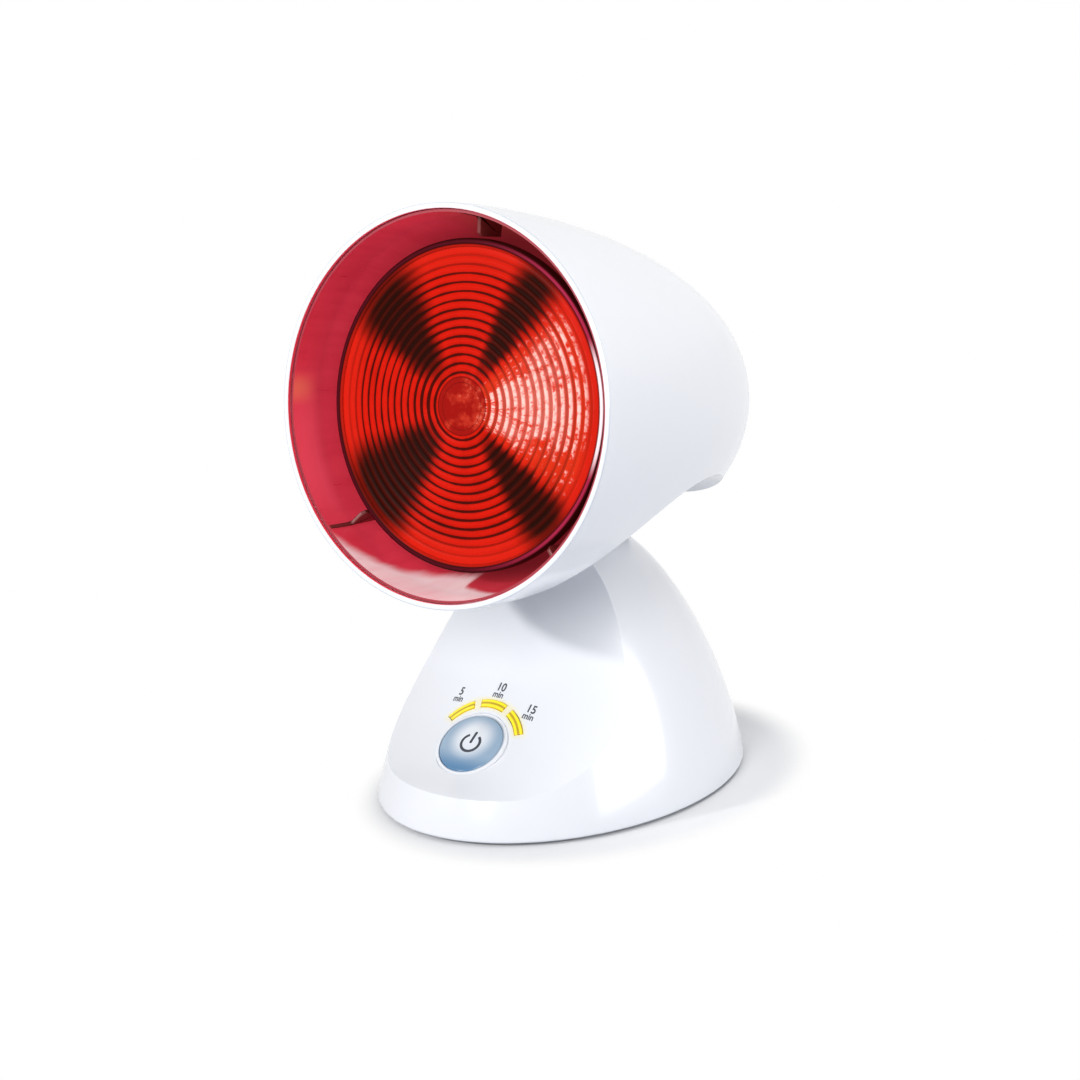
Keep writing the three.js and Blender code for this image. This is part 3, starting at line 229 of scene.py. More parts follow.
class BulbSizes(bpy.types.PropertyGroup):
    rim_radius: length("Bulb radius", 0.0605, "Outer radius of the bulb's glass")
    set_back: length("Set back", 0.016, "Distance of the bulb's rim behind the mouth")
    bulge: length("Bulge", 0.0032, "Height of the lens over its rim")
    lens_thick: length("Lens thickness", 0.0034, "Thickness of the lens")
    lens_rim: length("Lens rim", 0.0032, "Width of the lens's raised rim")
    rim_rise: length("Rim rise", 0.0009, "Height of the lens's rim over its edge")
    disc_radius: length("Disc radius", 0.0122, "Radius of the lens's first ring")
    ring_pitch: length("Ring pitch", 0.00325, "Distance from one ring to the next")
    ring_depth: length("Ring depth", 0.00045, "Depth of the grooves between the rings")
    bowl_band: length("Bowl band", 0.004, "Straight part of the bowl behind the rim")
    bowl_depth: length("Bowl depth", 0.092, "Depth of the bowl behind the rim")
    bowl_neck: length("Neck radius", 0.017, "Radius of the bulb's neck")
    bowl_wall: length("Glass wall", 0.002, "Thickness of the bowl's glass")
    liner_wall: length("Reflector wall", 0.001, "Thickness of the inner reflector")
    liner_air: length("Reflector air", 0.008, "Air between the bulb and the reflector")
    liner_end: length("Reflector end", 0.106, "Depth of the reflector behind the mouth")
    liner_gap: length("Reflector gap", 0.00045, "Gap between the reflector and the shade's wall")
    guide_inset: length("Guide inset", 0.0007, "Distance of a guide's foot inside the mouth's lip")
    guide_air: length("Guide air", 0.0008, "Gap between a guide and the bulb's rim")
    guide_ridge: length("Guide ridge", 0.0018, "Height of a guide's low ridge")
    guide_step: length("Guide step", 0.0135, "Depth at which a guide steps in")
    guide_back: length("Guide back", 0.027, "Depth at which a guide ends")
    guide_thick: length("Guide thickness", 0.0016, "Thickness of a guide")
    cover_back: length("Cover back", 0.1496, "Distance of the holder's cover's back from the mouth")
    cover_radius: length("Cover radius", 0.0237, "Outer radius of that cover's back")
    cover_wall: length("Cover wall", 0.0018, "Wall thickness of that cover")


class LampColors(bpy.types.PropertyGroup):
    white: paint("White", 0xF5F6F9, "Plastic of the shade and the base")
    neck: paint("Neck", 0xF2F3F6, "Plastic of the neck's saddle")
    ink: paint("Ink", 0x3C3F48, "Legends and power symbol")
    # Painted light of the lit arcs on the panel round them
    glow: paint("Glow", 0xFFF3A8, "Light round the lit arcs")
    # The bulb's red light, painted in crimson on the inner wall of the mouth's lip
    crimson: paint("Crimson", 0xCD3244, "Inner wall of the mouth's lip")
    guide: paint("Guides", 0x742826, "Guides for the bulb")
    rubber: paint("Rubber", 0x2B2C2F, "Feet")
    steel: paint("Steel", 0x9BA0A6, "Screws")


class StageSettings(bpy.types.PropertyGroup):
    azimuth: turn("Azimuth", 35.68, "Side angle of the camera")
    elevation: turn("Elevation", 15.49, "Height angle of the camera")
    distance: length("Distance", 1.1, "Distance of the camera from the point it looks at")
    aim_height: length("Aim height", 0.115, "Height of that point")
    slide: length("Slide", 0.00961, "Camera's move to its left")
    drop: length("Drop", 0.01947, "Camera's move down")
    lens: plain("Lens", 95.93, "Focal length in millimetres")
    sensor: plain("Sensor", 36, "Sensor width in millimetres")
    floor_reach: length("Floor reach", 6, "Half the floor's width")
    sky: plain("Sky", 0.16, "Strength of the surrounding light")
    key_power: plain("Key light", 11.5, "Watts of the light at the left")
    front_power: plain("Front light", 15.5, "Watts of the light at the front")
    side_power: plain("Side light", 20.5, "Watts of the light at the right")
    top_power: plain("Top light", 16, "Watts of the light above")
    shadow_start: plain("Shadow start", 1.03, "Share of the foot at which the floor starts to go plain")
    shadow_end: plain("Shadow end", 1.27, "Share of the foot at which the floor is plain white")
    shadow_shift: length("Shadow shift", 0.008, "Move of the shadow's part of the floor to the right")
    shadow_back: length("Shadow back", 0.006, "Move of that part to the back")


# Mesh helpers


def deselect_all():
    if bpy.context.object and bpy.context.object.mode != "OBJECT":
        bpy.ops.object.mode_set(mode="OBJECT")
    bpy.ops.object.select_all(action="DESELECT")


def only(obj):
    deselect_all()
    bpy.context.view_layer.objects.active = obj
    obj.select_set(True)
    return obj


def named(name):
    obj = bpy.context.object
    obj.name = name
    obj.data.name = name
    return obj


def apply_all(obj):
    only(obj)
    for modifier in list(obj.modifiers):
        bpy.ops.object.modifier_apply(modifier=modifier.name)
    return obj


def settle(obj, matrix=None):
    """Puts the object where the matrix says, with its place in its mesh."""
    only(obj)
    if matrix is not None:
        obj.matrix_world = matrix
    bpy.ops.object.transform_apply(location=True, rotation=True, scale=True)
    return obj


def tidy_faces(obj):
    only(obj)
    bpy.ops.object.mode_set(mode="EDIT")
    bpy.ops.mesh.select_all(action="SELECT")
    bpy.ops.mesh.remove_doubles(threshold=WELD)
    bpy.ops.mesh.normals_make_consistent(inside=False)
    bpy.ops.object.mode_set(mode="OBJECT")
    return obj


def smooth(obj, angle=30):
    only(obj)
    bpy.ops.object.shade_smooth_by_angle(angle=math.radians(angle), keep_sharp_edges=False)
    return obj


def quarter(steps):
    """Sine and cosine of the steps of a quarter turn."""
    angles = (math.pi / 2 * i / steps for i in range(steps + 1))
    return [(math.sin(angle), math.cos(angle)) for angle in angles]


def turned(name, outline, sides):
    """A form turned about Z from an outline of (radius, height), drawn point by point and spun."""
    deselect_all()
    bpy.ops.mesh.primitive_plane_add(size=0.001, location=(0, 0, 0))
    obj = named(name)
    bpy.ops.object.mode_set(mode="EDIT")
    bpy.ops.mesh.select_all(action="SELECT")
    bpy.ops.mesh.merge(type="CENTER")
    (radius, height) = outline[0]
    bpy.ops.transform.translate(value=(radius, 0, height))
    for (r0, h0), (r1, h1) in zip(outline, outline[1:]):
        step = {"value": (r1 - r0, 0, h1 - h0)}
        bpy.ops.mesh.extrude_region_move(TRANSFORM_OT_translate=step)
    if outline[0][0] > 0 and outline[-1][0] > 0:
        (r0, h0), (r1, h1) = outline[-1], outline[0]
        bpy.ops.mesh.extrude_region_move(TRANSFORM_OT_translate={"value": (r1 - r0, 0, h1 - h0)})
    bpy.ops.mesh.select_all(action="SELECT")
    bpy.ops.mesh.spin(steps=sides, angle=2 * math.pi, center=(0, 0, 0), axis=(0, 0, 1))
    bpy.ops.object.mode_set(mode="OBJECT")
    return tidy_faces(obj)


def stacked(name, rings, sides):
    """A closed form of ellipses one above the other, from rings of (half width, half depth, height)."""
    deselect_all()
    bpy.ops.mesh.primitive_circle_add(vertices=sides, radius=1, fill_type="NGON", location=(0, 0, 0))
    obj = named(name)
    bpy.ops.object.mode_set(mode="EDIT")
    bpy.ops.mesh.select_all(action="SELECT")
    width, depth, height = rings[0]
    bpy.ops.transform.resize(value=(width, depth, 1), center_override=(0, 0, 0))
    bpy.ops.transform.translate(value=(0, 0, height))
    for (w0, d0, h0), (w1, d1, h1) in zip(rings, rings[1:]):
        bpy.ops.mesh.extrude_region_move(TRANSFORM_OT_translate={"value": (0, 0, h1 - h0)})
        bpy.ops.transform.resize(value=(w1 / w0, d1 / d0, 1), center_override=(0, 0, 0))
    bpy.ops.object.mode_set(mode="OBJECT")
    return tidy_faces(obj)


def block(name, size, place):
    deselect_all()
    bpy.ops.mesh.primitive_cube_add(size=1, location=place)
    obj = named(name)
    obj.scale = size
    return settle(obj)


def rod(name, radius, low, high, sides=48):
    deselect_all()
    middle = (0, 0, (low + high) / 2)
    bpy.ops.mesh.primitive_cylinder_add(vertices=sides, radius=radius, depth=high - low, location=middle)
    return settle(named(name))


def combine(obj, tools, operation):
    """Cuts, joins or trims an object with others, which are used up."""
    for tool in tools:
        only(obj)
        modifier = obj.modifiers.new(operation.title(), "BOOLEAN")
        modifier.operation = operation
        modifier.solver = "EXACT"
        modifier.object = tool
        bpy.ops.object.modifier_apply(modifier=modifier.name)
        mesh = tool.data
        bpy.data.objects.remove(tool)
        bpy.data.meshes.remove(mesh)
    return obj


def trimmed(obj, form):
    """Cuts away what lies outside a form, which is kept."""
    modifier = obj.modifiers.new("Trim", "BOOLEAN")
    modifier.operation = "INTERSECT"
    modifier.object = form
    return apply_all(obj)


def round_edges(obj, width, segments=3, angle=30):
    only(obj)
    modifier = obj.modifiers.new("Bevel", "BEVEL")
    modifier.width = width
    modifier.segments = segments
    modifier.limit_method = "ANGLE"
    modifier.angle_limit = math.radians(angle)
    modifier.harden_normals = False
    bpy.ops.object.modifier_apply(modifier=modifier.name)
    return obj


def weigh_normals(obj, angle=20):
    """Keeps large faces flat in shade along a trimmed edge."""
    smooth(obj, angle)
    modifier = obj.modifiers.new("Weighted normals", "WEIGHTED_NORMAL")
    modifier.keep_sharp = True
    modifier.weight = 80
    return apply_all(obj)


def finish_piece(obj, body, material, slot, *nodes):
    obj.data.materials.clear()
    obj.data.materials.append(material)
    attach(obj, body)
    if nodes:
        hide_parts(*nodes)
    return obj


# Materials


class Value:
    """A shader socket on which sums can be written."""

    def __init__(self, tree, socket):
        self.tree = tree
        self.socket = socket

    def _math(self, operation, *inputs):
        node = self.tree.nodes.new("ShaderNodeMath")
        node.operation = operation
        for i, value in enumerate(inputs):
            if isinstance(value, Value):
                self.tree.links.new(value.socket, node.inputs[i])
            else:
                node.inputs[i].default_value = value
        return Value(self.tree, node.outputs[0])

    def __add__(self, other):
        return self._math("ADD", self, other)

    def __radd__(self, other):
        return self._math("ADD", other, self)

    def __sub__(self, other):
        return self._math("SUBTRACT", self, other)

    def __rsub__(self, other):
        return self._math("SUBTRACT", other, self)

    def __mul__(self, other):
        return self._math("MULTIPLY", self, other)

    def __rmul__(self, other):
        return self._math("MULTIPLY", other, self)

    def __truediv__(self, other):
        return self._math("DIVIDE", self, other)

    def __pow__(self, other):
        return self._math("POWER", self, other)

    def __neg__(self):
        return self._math("MULTIPLY", self, -1)

    def sine(self):
        return self._math("SINE", self)

    def absolute(self):
        return self._math("ABSOLUTE", self)

    def root(self):
        return self._math("SQRT", self)

    def angle_to(self, other):
        return self._math("ARCTAN2", self, other)

    def larger(self, other):
        return self._math("MAXIMUM", self, other)

    def ramp(self, low, high):
        """0 below low, 1 above high, and smooth between them."""
        node = self.tree.nodes.new("ShaderNodeMapRange")
        node.interpolation_type = "SMOOTHSTEP"
        node.inputs["From Min"].default_value = low
        node.inputs["From Max"].default_value = high
        self.tree.links.new(self.socket, node.inputs["Value"])
        return Value(self.tree, node.outputs["Result"])

    def band(self, middle, half, soft):
        """1 within half of the middle, falling to 0 over soft."""
        return 1 - (self - middle).absolute().ramp(half, half + soft)


class Finish:
    """A material whose nodes are added one by one."""

    def __init__(self, name, color, roughness, metallic=0.0, coat=0.0, **constants):
        self.material = bpy.data.materials.new(name)
        self.material.use_nodes = True
        self.tree = self.material.node_tree
        self.shader = self.tree.nodes["Principled BSDF"]
        self.color = (*color, 1)
        self.shader.inputs["Base Color"].default_value = self.color
        self.shader.inputs["Roughness"].default_value = roughness
        self.shader.inputs["Metallic"].default_value = metallic
        self.shader.inputs["Coat Weight"].default_value = coat
        for key, value in constants.items():
            self.shader.inputs[key.replace("_", " ")].default_value = value

    def node(self, kind, settings=None, **inputs):
        node = self.tree.nodes.new(kind)
        for key, value in (settings or {}).items():
            setattr(node, key, value)
        for key, value in inputs.items():
            socket = node.inputs[key.replace("_", " ")]
            self.feed(socket, value)
        return node

    def feed(self, socket, value):
        if isinstance(value, Value):
            self.tree.links.new(value.socket, socket)
        elif isinstance(value, bpy.types.NodeSocket):
            self.tree.links.new(value, socket)
        else:
            socket.default_value = value

    def value(self, node, output=0):
        return Value(self.tree, node.outputs[output])

    def place(self, frame_matrix=None):
        """Object coordinates, or those of a local frame, as x, y and z."""
        source = self.node("ShaderNodeTexCoord").outputs["Object"]
        if frame_matrix is not None:
            inverse = frame_matrix.inverted()
            node = self.node("ShaderNodeMapping", {"vector_type": "POINT"}, Vector=source)
            node.inputs["Location"].default_value = inverse.to_translation()
            node.inputs["Rotation"].default_value = inverse.to_euler()
            source = node.outputs["Vector"]
        parts = self.node("ShaderNodeSeparateXYZ", Vector=source)
        return source, [Value(self.tree, out) for out in parts.outputs]

    def vector(self, x, y, z):
        return self.node("ShaderNodeCombineXYZ", X=x, Y=y, Z=z).outputs["Vector"]

    def noise(self, vector, scale, detail=2.0, roughness=0.5):
        node = self.node("ShaderNodeTexNoise", Vector=vector, Scale=scale, Detail=detail, Roughness=roughness)
        return self.value(node, "Fac")

    def mix(self, factor, first, second):
        node = self.tree.nodes.new("ShaderNodeMix")
        node.data_type = "RGBA"
        self.feed(node.inputs[0], factor)
        for socket, value in ((node.inputs[6], first), (node.inputs[7], second)):
            if isinstance(value, tuple) and len(value) == 3:
                value = (*value, 1)
            self.feed(socket, value)
        return node.outputs[2]

    def paint(self, color):
        self.feed(self.shader.inputs["Base Color"], color)

    def rough(self, value):
        self.feed(self.shader.inputs["Roughness"], value)

    def bump(self, height, strength, distance=0.0001):
        node = self.node("ShaderNodeBump", Strength=strength, Distance=distance, Height=height)
        self.feed(self.shader.inputs["Normal"], node.outputs["Normal"])


def moulded(name, color, roughness, coat=0.0, variation=0.015, peel=0.05, scale=260.0):
    """Plain moulded plastic: a faint change of tone and gloss, and a very low orange peel."""
    color = linear(color) if isinstance(color, int) else tuple(color)
    finish = Finish(name, color, roughness, coat=coat)
    source, _ = finish.place()
    broad = finish.noise(source, 22.0)
    fine = finish.noise(source, scale, 3.0)
    dark = tuple(c * (1 - 2 * variation) for c in color)
    finish.paint(finish.mix(broad, dark, color))
    finish.rough(roughness + (fine - 0.5) * 0.06)
    finish.bump(fine, peel)
    return finish


def machined(name, color, roughness, scale=900.0):
    """Bare metal with short fine scratches."""
    color = linear(color) if isinstance(color, int) else tuple(color)
    finish = Finish(name, color, roughness, metallic=1.0)
    source, (x, y, z) = finish.place()
    lines = finish.noise(finish.vector(x * 0.15, y, z), scale, 2.0)
    blotch = finish.noise(source, 60.0)
    finish.paint(finish.mix(blotch, tuple(c * 0.86 for c in color), color))
    finish.rough(roughness + (lines - 0.5) * 0.16)
    finish.bump(lines, 0.08)
    return finish


def rubber_finish():
    color = bpy.context.scene.lamp_colors.rubber
    return moulded("foot_rubber", color, 0.85, variation=0.08, peel=0.4, scale=700.0).material


# Forms of the lamp


def dome_share(height, top, sizes):
    share = min(max(height / top, 0), 1)
    return (1 - share ** sizes.rise_power) ** sizes.fall_power


def dome_rings(inset, low, high, foot_round, top_round, sizes, steps=84, turns=6):
    """Rings of the dome, drawn in by an inset, with quarter rounds at its foot and top."""

    def ring(height, drawn):
        share = dome_share(height, sizes.dome_height - inset, sizes)
        width = (sizes.half_width - inset) * share - drawn
        depth = (sizes.half_depth - inset) * share - drawn
        return (width, depth, height)

    rings = []
    for i in range(turns if foot_round else 0):
        angle = math.pi / 2 * i / turns
        rings.append(ring(low + foot_round * (1 - math.cos(angle)), foot_round * (1 - math.sin(angle))))
    for i in range(steps + 1):
        share = (i / steps) ** 0.92
        rings.append(ring(low + foot_round + share * (high - top_round - low - foot_round), 0))
    for i in range(1, turns + 1):
        angle = math.pi / 2 * i / turns
        rings.append(ring(high - top_round * (1 - math.sin(angle)), top_round * (1 - math.cos(angle))))
    return rings


def panel_place(t, sizes):
    """Place and direction on the panel's centre line at t from 0 to 1."""
    points = [Vector((0, y * sizes.half_depth, z * sizes.top)) for y, z in PANEL_LINE]
    last = len(points) - 1
    at = min(max(t, 0), 1) * last
    i = min(int(at), last - 1)
    w = at - i
    p1, p2 = points[i], points[i + 1]
    p0 = points[i - 1] if i > 0 else 2 * p1 - p2
    p3 = points[i + 2] if i + 2 <= last else 2 * p2 - p1
    t1, t2 = (p2 - p0) * 0.5, (p3 - p1) * 0.5
    a = 2 * p1 - 2 * p2 + t1 + t2
    b = -3 * p1 + 3 * p2 - 2 * t1 - t2
    return a * w ** 3 + b * w ** 2 + t1 * w + p1, (3 * a * w ** 2 + 2 * b * w + t1).normalized()


def panel_front(name, inset, sizes, along=110, across=90):
    """All that lies in front of the panel, from a surface set behind it by an inset."""
    deselect_all()
    bpy.ops.mesh.primitive_grid_add(x_subdivisions=across, y_subdivisions=along, size=2, location=(0, 0, 0))
    obj = named(name)
    for vertex in obj.data.vertices:
        u, v, _ = vertex.co
        place, direction = panel_place((v + 1) / 2, sizes)
        out = Vector((0, -direction.z, direction.y))
        x = u * sizes.reach
        sag = sizes.bow - math.sqrt(sizes.bow ** 2 - x ** 2)
        vertex.co = place - out * (inset + sag) + Vector((x, 0, 0))
    bpy.ops.object.mode_set(mode="EDIT")
    bpy.ops.mesh.select_all(action="SELECT")
    away = Vector((0, -1, 1)) * sizes.reach
    bpy.ops.mesh.extrude_region_move(TRANSFORM_OT_translate={"value": away})
    bpy.ops.object.mode_set(mode="OBJECT")
    return tidy_faces(obj)


def base_frame(sizes):
    return Matrix.Translation((0, sizes.shift, 0))


def controls_frame(sizes):
    place, direction = panel_place(BUTTON_STOP / (len(PANEL_LINE) - 1), sizes)
    tilt = math.atan2(direction.z, direction.y)
    return base_frame(sizes) @ Matrix.Translation(place) @ Matrix.Rotation(tilt, 4, "X")


def head_frame(scene):
    """Local z faces out of the shade's mouth, and the origin is the mouth's middle."""
    shade = scene.shade_sizes
    place = Vector((0, shade.mouth_set + scene.base_sizes.shift, shade.mouth_height))
    return Matrix.Translation(place) @ Matrix.Rotation(math.pi / 2 - shade.tilt, 4, "X")


def window_cutter(name, index, grow, low, high, controls):
    half = controls.window_span / 2 + grow / controls.window_inner
    middle = (index - 1) * controls.window_pitch
    inner = controls.window_inner - grow
    outer = controls.window_inner + controls.window_width + grow
    return arc_bar(name, inner, outer, middle - half, middle + half, low, high)


def arc_bar(name, inner, outer, start, end, low, high, steps=32):
    """A closed bar bent to part of a ring, from a grid wrapped round and given its height."""
    deselect_all()
    bpy.ops.mesh.primitive_grid_add(x_subdivisions=2, y_subdivisions=steps, size=2, location=(0, 0, 0))
    obj = named(name)
    for vertex in obj.data.vertices:
        u, v, _ = vertex.co
        radius = inner + (outer - inner) * (u + 1) / 2
        angle = start + (end - start) * (v + 1) / 2
        vertex.co = (radius * math.sin(angle), radius * math.cos(angle), low)
    bpy.ops.object.mode_set(mode="EDIT")
    bpy.ops.mesh.select_all(action="SELECT")
    bpy.ops.mesh.extrude_region_move(TRANSFORM_OT_translate={"value": (0, 0, high - low)})
    bpy.ops.object.mode_set(mode="OBJECT")
    return tidy_faces(obj)


# Pieces


class LAMP_OT_base(bpy.types.Operator):
    """Make the domed base with its swept panel"""

    bl_idname = "lamp.base"
    bl_label = "Base housing"

    def execute(self, context):
        sizes, controls = context.scene.base_sizes, context.scene.control_sizes
        outer = dome_rings(0, sizes.lift, sizes.top, sizes.edge_round, sizes.top_round, sizes)
        housing = stacked("base_housing", outer, 224)
        wall = sizes.half_depth * dome_share(sizes.gland_height, sizes.dome_height, sizes)
        pad = rod("gland_pad", sizes.gland_pad, wall - sizes.gland_pad, wall + sizes.gland_stand, 96)
        pad = settle(round_edges(pad, sizes.gland_round, 3, 50), along_back(sizes))
        combine(housing, [pad], "UNION")
        combine(housing, [panel_front("panel_cut", 0, sizes)], "DIFFERENCE")
        inner = dome_rings(sizes.wall, -OVERSHOOT, sizes.top - sizes.wall, 0, sizes.top_round, sizes,
                           steps=30)
        hollow = stacked("base_hollow", inner, 96)
        combine(hollow, [panel_front("panel_back", sizes.wall, sizes, 40, 30)], "DIFFERENCE")
        bore = rod("gland_hole", sizes.gland_hole, wall - CUTTER_REACH, wall + CUTTER_REACH, 64)
        bore = settle(bore, along_back(sizes))
        combine(housing, [hollow, bore], "DIFFERENCE")
        settle(housing, base_frame(sizes))
        frame_matrix = controls_frame(sizes)
        hole = controls.button_radius + controls.ring_width + 2 * controls.ring_gap
        low, high = HOLE_SPAN
        tools = [settle(rod("button_hole", hole, low, high, 96), frame_matrix)]
        for index in range(len(LEGENDS)):
            bar = window_cutter("window_hole", index, controls.ring_gap, low, high, controls)
            tools.append(settle(bar, frame_matrix))
        for side in (-1, 1):
            size = (sizes.slot_width, sizes.slot_length, CUTTER_REACH)
            tools.append(block("cheek_slot", size, (side * sizes.slot_set, sizes.slot_back, sizes.top)))
        combine(housing, tools, "DIFFERENCE")
        weigh_normals(housing)
        finish_piece(housing, "base", base_white(context.scene), "white_shell", "base_shell")
        return {"FINISHED"}


def along_back(sizes):
    """A frame at the gland's height whose local z points to the back."""
    return Matrix.Translation((0, 0, sizes.gland_height)) @ Matrix.Rotation(-math.pi / 2, 4, "X")


def base_white(scene):
    """Glossy white with the windows' pale yellow light painted on the panel round them."""
    colors, controls = scene.lamp_colors, scene.control_sizes
    finish = moulded("base_white_plastic", colors.white, 0.24, coat=0.35)
    _, (x, y, z) = finish.place(controls_frame(scene.base_sizes))
    radius = (x * x + y * y).root()
    angle = x.angle_to(y)
    middle = controls.window_inner + controls.window_width / 2
    off = (radius - middle).absolute()
    # Painted light of the arcs on the panel, strongest next to them
    glow = 1 - off.ramp(controls.window_width * 0.45, controls.window_width * 1.25)
    glow = glow * z.band(0, 0.004, 0.001)
    spread = 1 - angle.absolute().ramp(1.0, 1.2)
    finish.paint(finish.mix(glow * spread * 0.55, tuple(colors.white), tuple(colors.glow)))
    return finish.material


class LAMP_OT_shade(bpy.types.Operator):
    """Make the shade's outer shell with the arch under it"""

    bl_idname = "lamp.shade"
    bl_label = "Shade"

    def execute(self, context):
        sizes = context.scene.shade_sizes
        outer = shade_outline(0, 0, sizes)
        inner = shade_outline(sizes.wall, sizes.lip_depth, sizes)
        edge = sizes.rim_round
        rim = [(sizes.lip_radius, -sizes.lip_depth), (sizes.lip_radius, -edge / 2),
               (sizes.lip_radius + edge / 2, 0), (sizes.rim_radius - edge, 0),
               (sizes.rim_radius - edge * 0.3, -edge * 0.3)]
        shell = turned("shade_shell", rim + outer[1:] + inner[::-1], 224)
        arch = rod("arch", sizes.arch_radius, -sizes.arch_half, sizes.arch_half, 256)
        place = Matrix.Translation((0, -sizes.arch_drop, -sizes.arch_back))
        place = place @ Matrix.Rotation(math.pi / 2, 4, "Y")
        full = turned("shade_full", outer + [(0, 0)], 96)
        bosses, tools = [], [settle(arch, place)]
        for side in (-1, 1):
            where = Matrix.Translation((side * sizes.boss_set, -sizes.boss_drop, 0))
            boss = settle(rod("boss", sizes.boss_radius, -sizes.length, -sizes.boss_front, 48), where)
            bosses.append(trimmed(boss, full))
            floor = -sizes.boss_front - sizes.boss_floor
            well = rod("well", sizes.well_radius, -sizes.length - OVERSHOOT, floor, 48)
            shank = rod("shank_hole", sizes.shank_hole, -sizes.length, -sizes.shank_front, 32)
            tools += [settle(well, where), settle(shank, where)]
        wing = (sizes.wing_width, sizes.web_side, sizes.wing_front)
        parts = ((0, (sizes.web_width, sizes.web_top, sizes.web_front)),
                 (-sizes.wing_set, wing), (sizes.wing_set, wing))
        webs = []
        for middle, (width, top, front) in parts:
            size = (width, top - sizes.web_low, sizes.web_back - front)
            place = (middle, (sizes.web_low + top) / 2, -(sizes.web_back + front) / 2)
            webs.append(trimmed(block("web", size, place), full))
        bpy.data.objects.remove(full)
        for i in range(sizes.vents):
            place = (0, sizes.vent_lift + i * sizes.vent_pitch, -sizes.length)
            vent = block("vent", (2 * sizes.vent_half, sizes.vent_height, sizes.vent_depth), place)
            tools.append(round_edges(vent, sizes.vent_round))
        combine(shell, [*bosses, *webs], "UNION")
        combine(shell, tools, "DIFFERENCE")
        settle(shell, head_frame(context.scene))
        weigh_normals(shell)
        finish_piece(shell, "head", shade_white(context.scene), "white_shell", "head_shell")
        return {"FINISHED"}


def shade_white(scene):
    """Glossy white, with painted shade in grey on the mouth's rounded outer edge, and the bulb's red light
    painted in crimson on the inner wall of its lip, where it also glows.
    """
    sizes, colors = scene.shade_sizes, scene.lamp_colors
    white, crimson, black = tuple(colors.white), tuple(colors.crimson), (0, 0, 0)
    finish = moulded("shade_white_plastic", colors.white, 0.24, coat=0.35)
    # The lip glows with its painted red light; elsewhere the glow is black
    finish.shader.inputs["Emission Strength"].default_value = 0.44
    _, (x, y, z) = finish.place(head_frame(scene))
    radius = (x * x + y * y).root()
    # Mask of the lip's inner wall, where the red light is painted
    lip = (1 - radius.ramp(sizes.lip_radius + 0.00006, sizes.lip_radius + 0.0002)) * z.band(0, 0.003, 0.0004)
    # Mask of the painted shade on the rim's rounded outer edge
    edge = radius.ramp(sizes.rim_radius - 0.0005, sizes.rim_radius - 0.0004) * z.ramp(-0.0006, -0.0004)
    finish.paint(finish.mix(lip, finish.mix(edge, white, linear(0xD6DAE2)), crimson))
    finish.feed(finish.shader.inputs["Emission Color"], finish.mix(lip, black, crimson))
    return finish.material


def shade_radius(back, inset, sizes):
    share = max(0, 1 - (back / (sizes.length - inset)) ** sizes.side_power)
    return (sizes.rim_radius - inset) * share ** (1 / sizes.end_power)


def shade_outline(inset, start, sizes, steps=110):
    points = []
    for i in range(steps + 1):
        back = start + (sizes.length - inset - start) * math.sin(math.pi / 2 * (i / steps) ** 0.9)
        points.append((0 if i == steps else shade_radius(back, inset, sizes), -back))
    return points


def onto_panel(obj, sizes, stand):
    """Lays a flat thing, drawn in the controls' frame, on the panel's surface."""
    target = panel_front("panel_guide", -stand, sizes)
    settle(target, base_frame(sizes))
    only(obj)
    obj.matrix_world = controls_frame(sizes)
    modifier = obj.modifiers.new("Onto panel", "SHRINKWRAP")
    modifier.wrap_method = "PROJECT"
    modifier.use_project_z = True
    modifier.use_negative_direction = True
    modifier.use_positive_direction = True
    modifier.target = target
    bpy.ops.object.modifier_apply(modifier=modifier.name)
    mesh = target.data
    bpy.data.objects.remove(target)
    bpy.data.meshes.remove(mesh)
    return settle(obj)


def thicken(obj, depth, offset=-1):
    only(obj)
    modifier = obj.modifiers.new("Thickness", "SOLIDIFY")
    modifier.thickness = depth
    modifier.offset = offset
    bpy.ops.object.modifier_apply(modifier=modifier.name)
    return obj


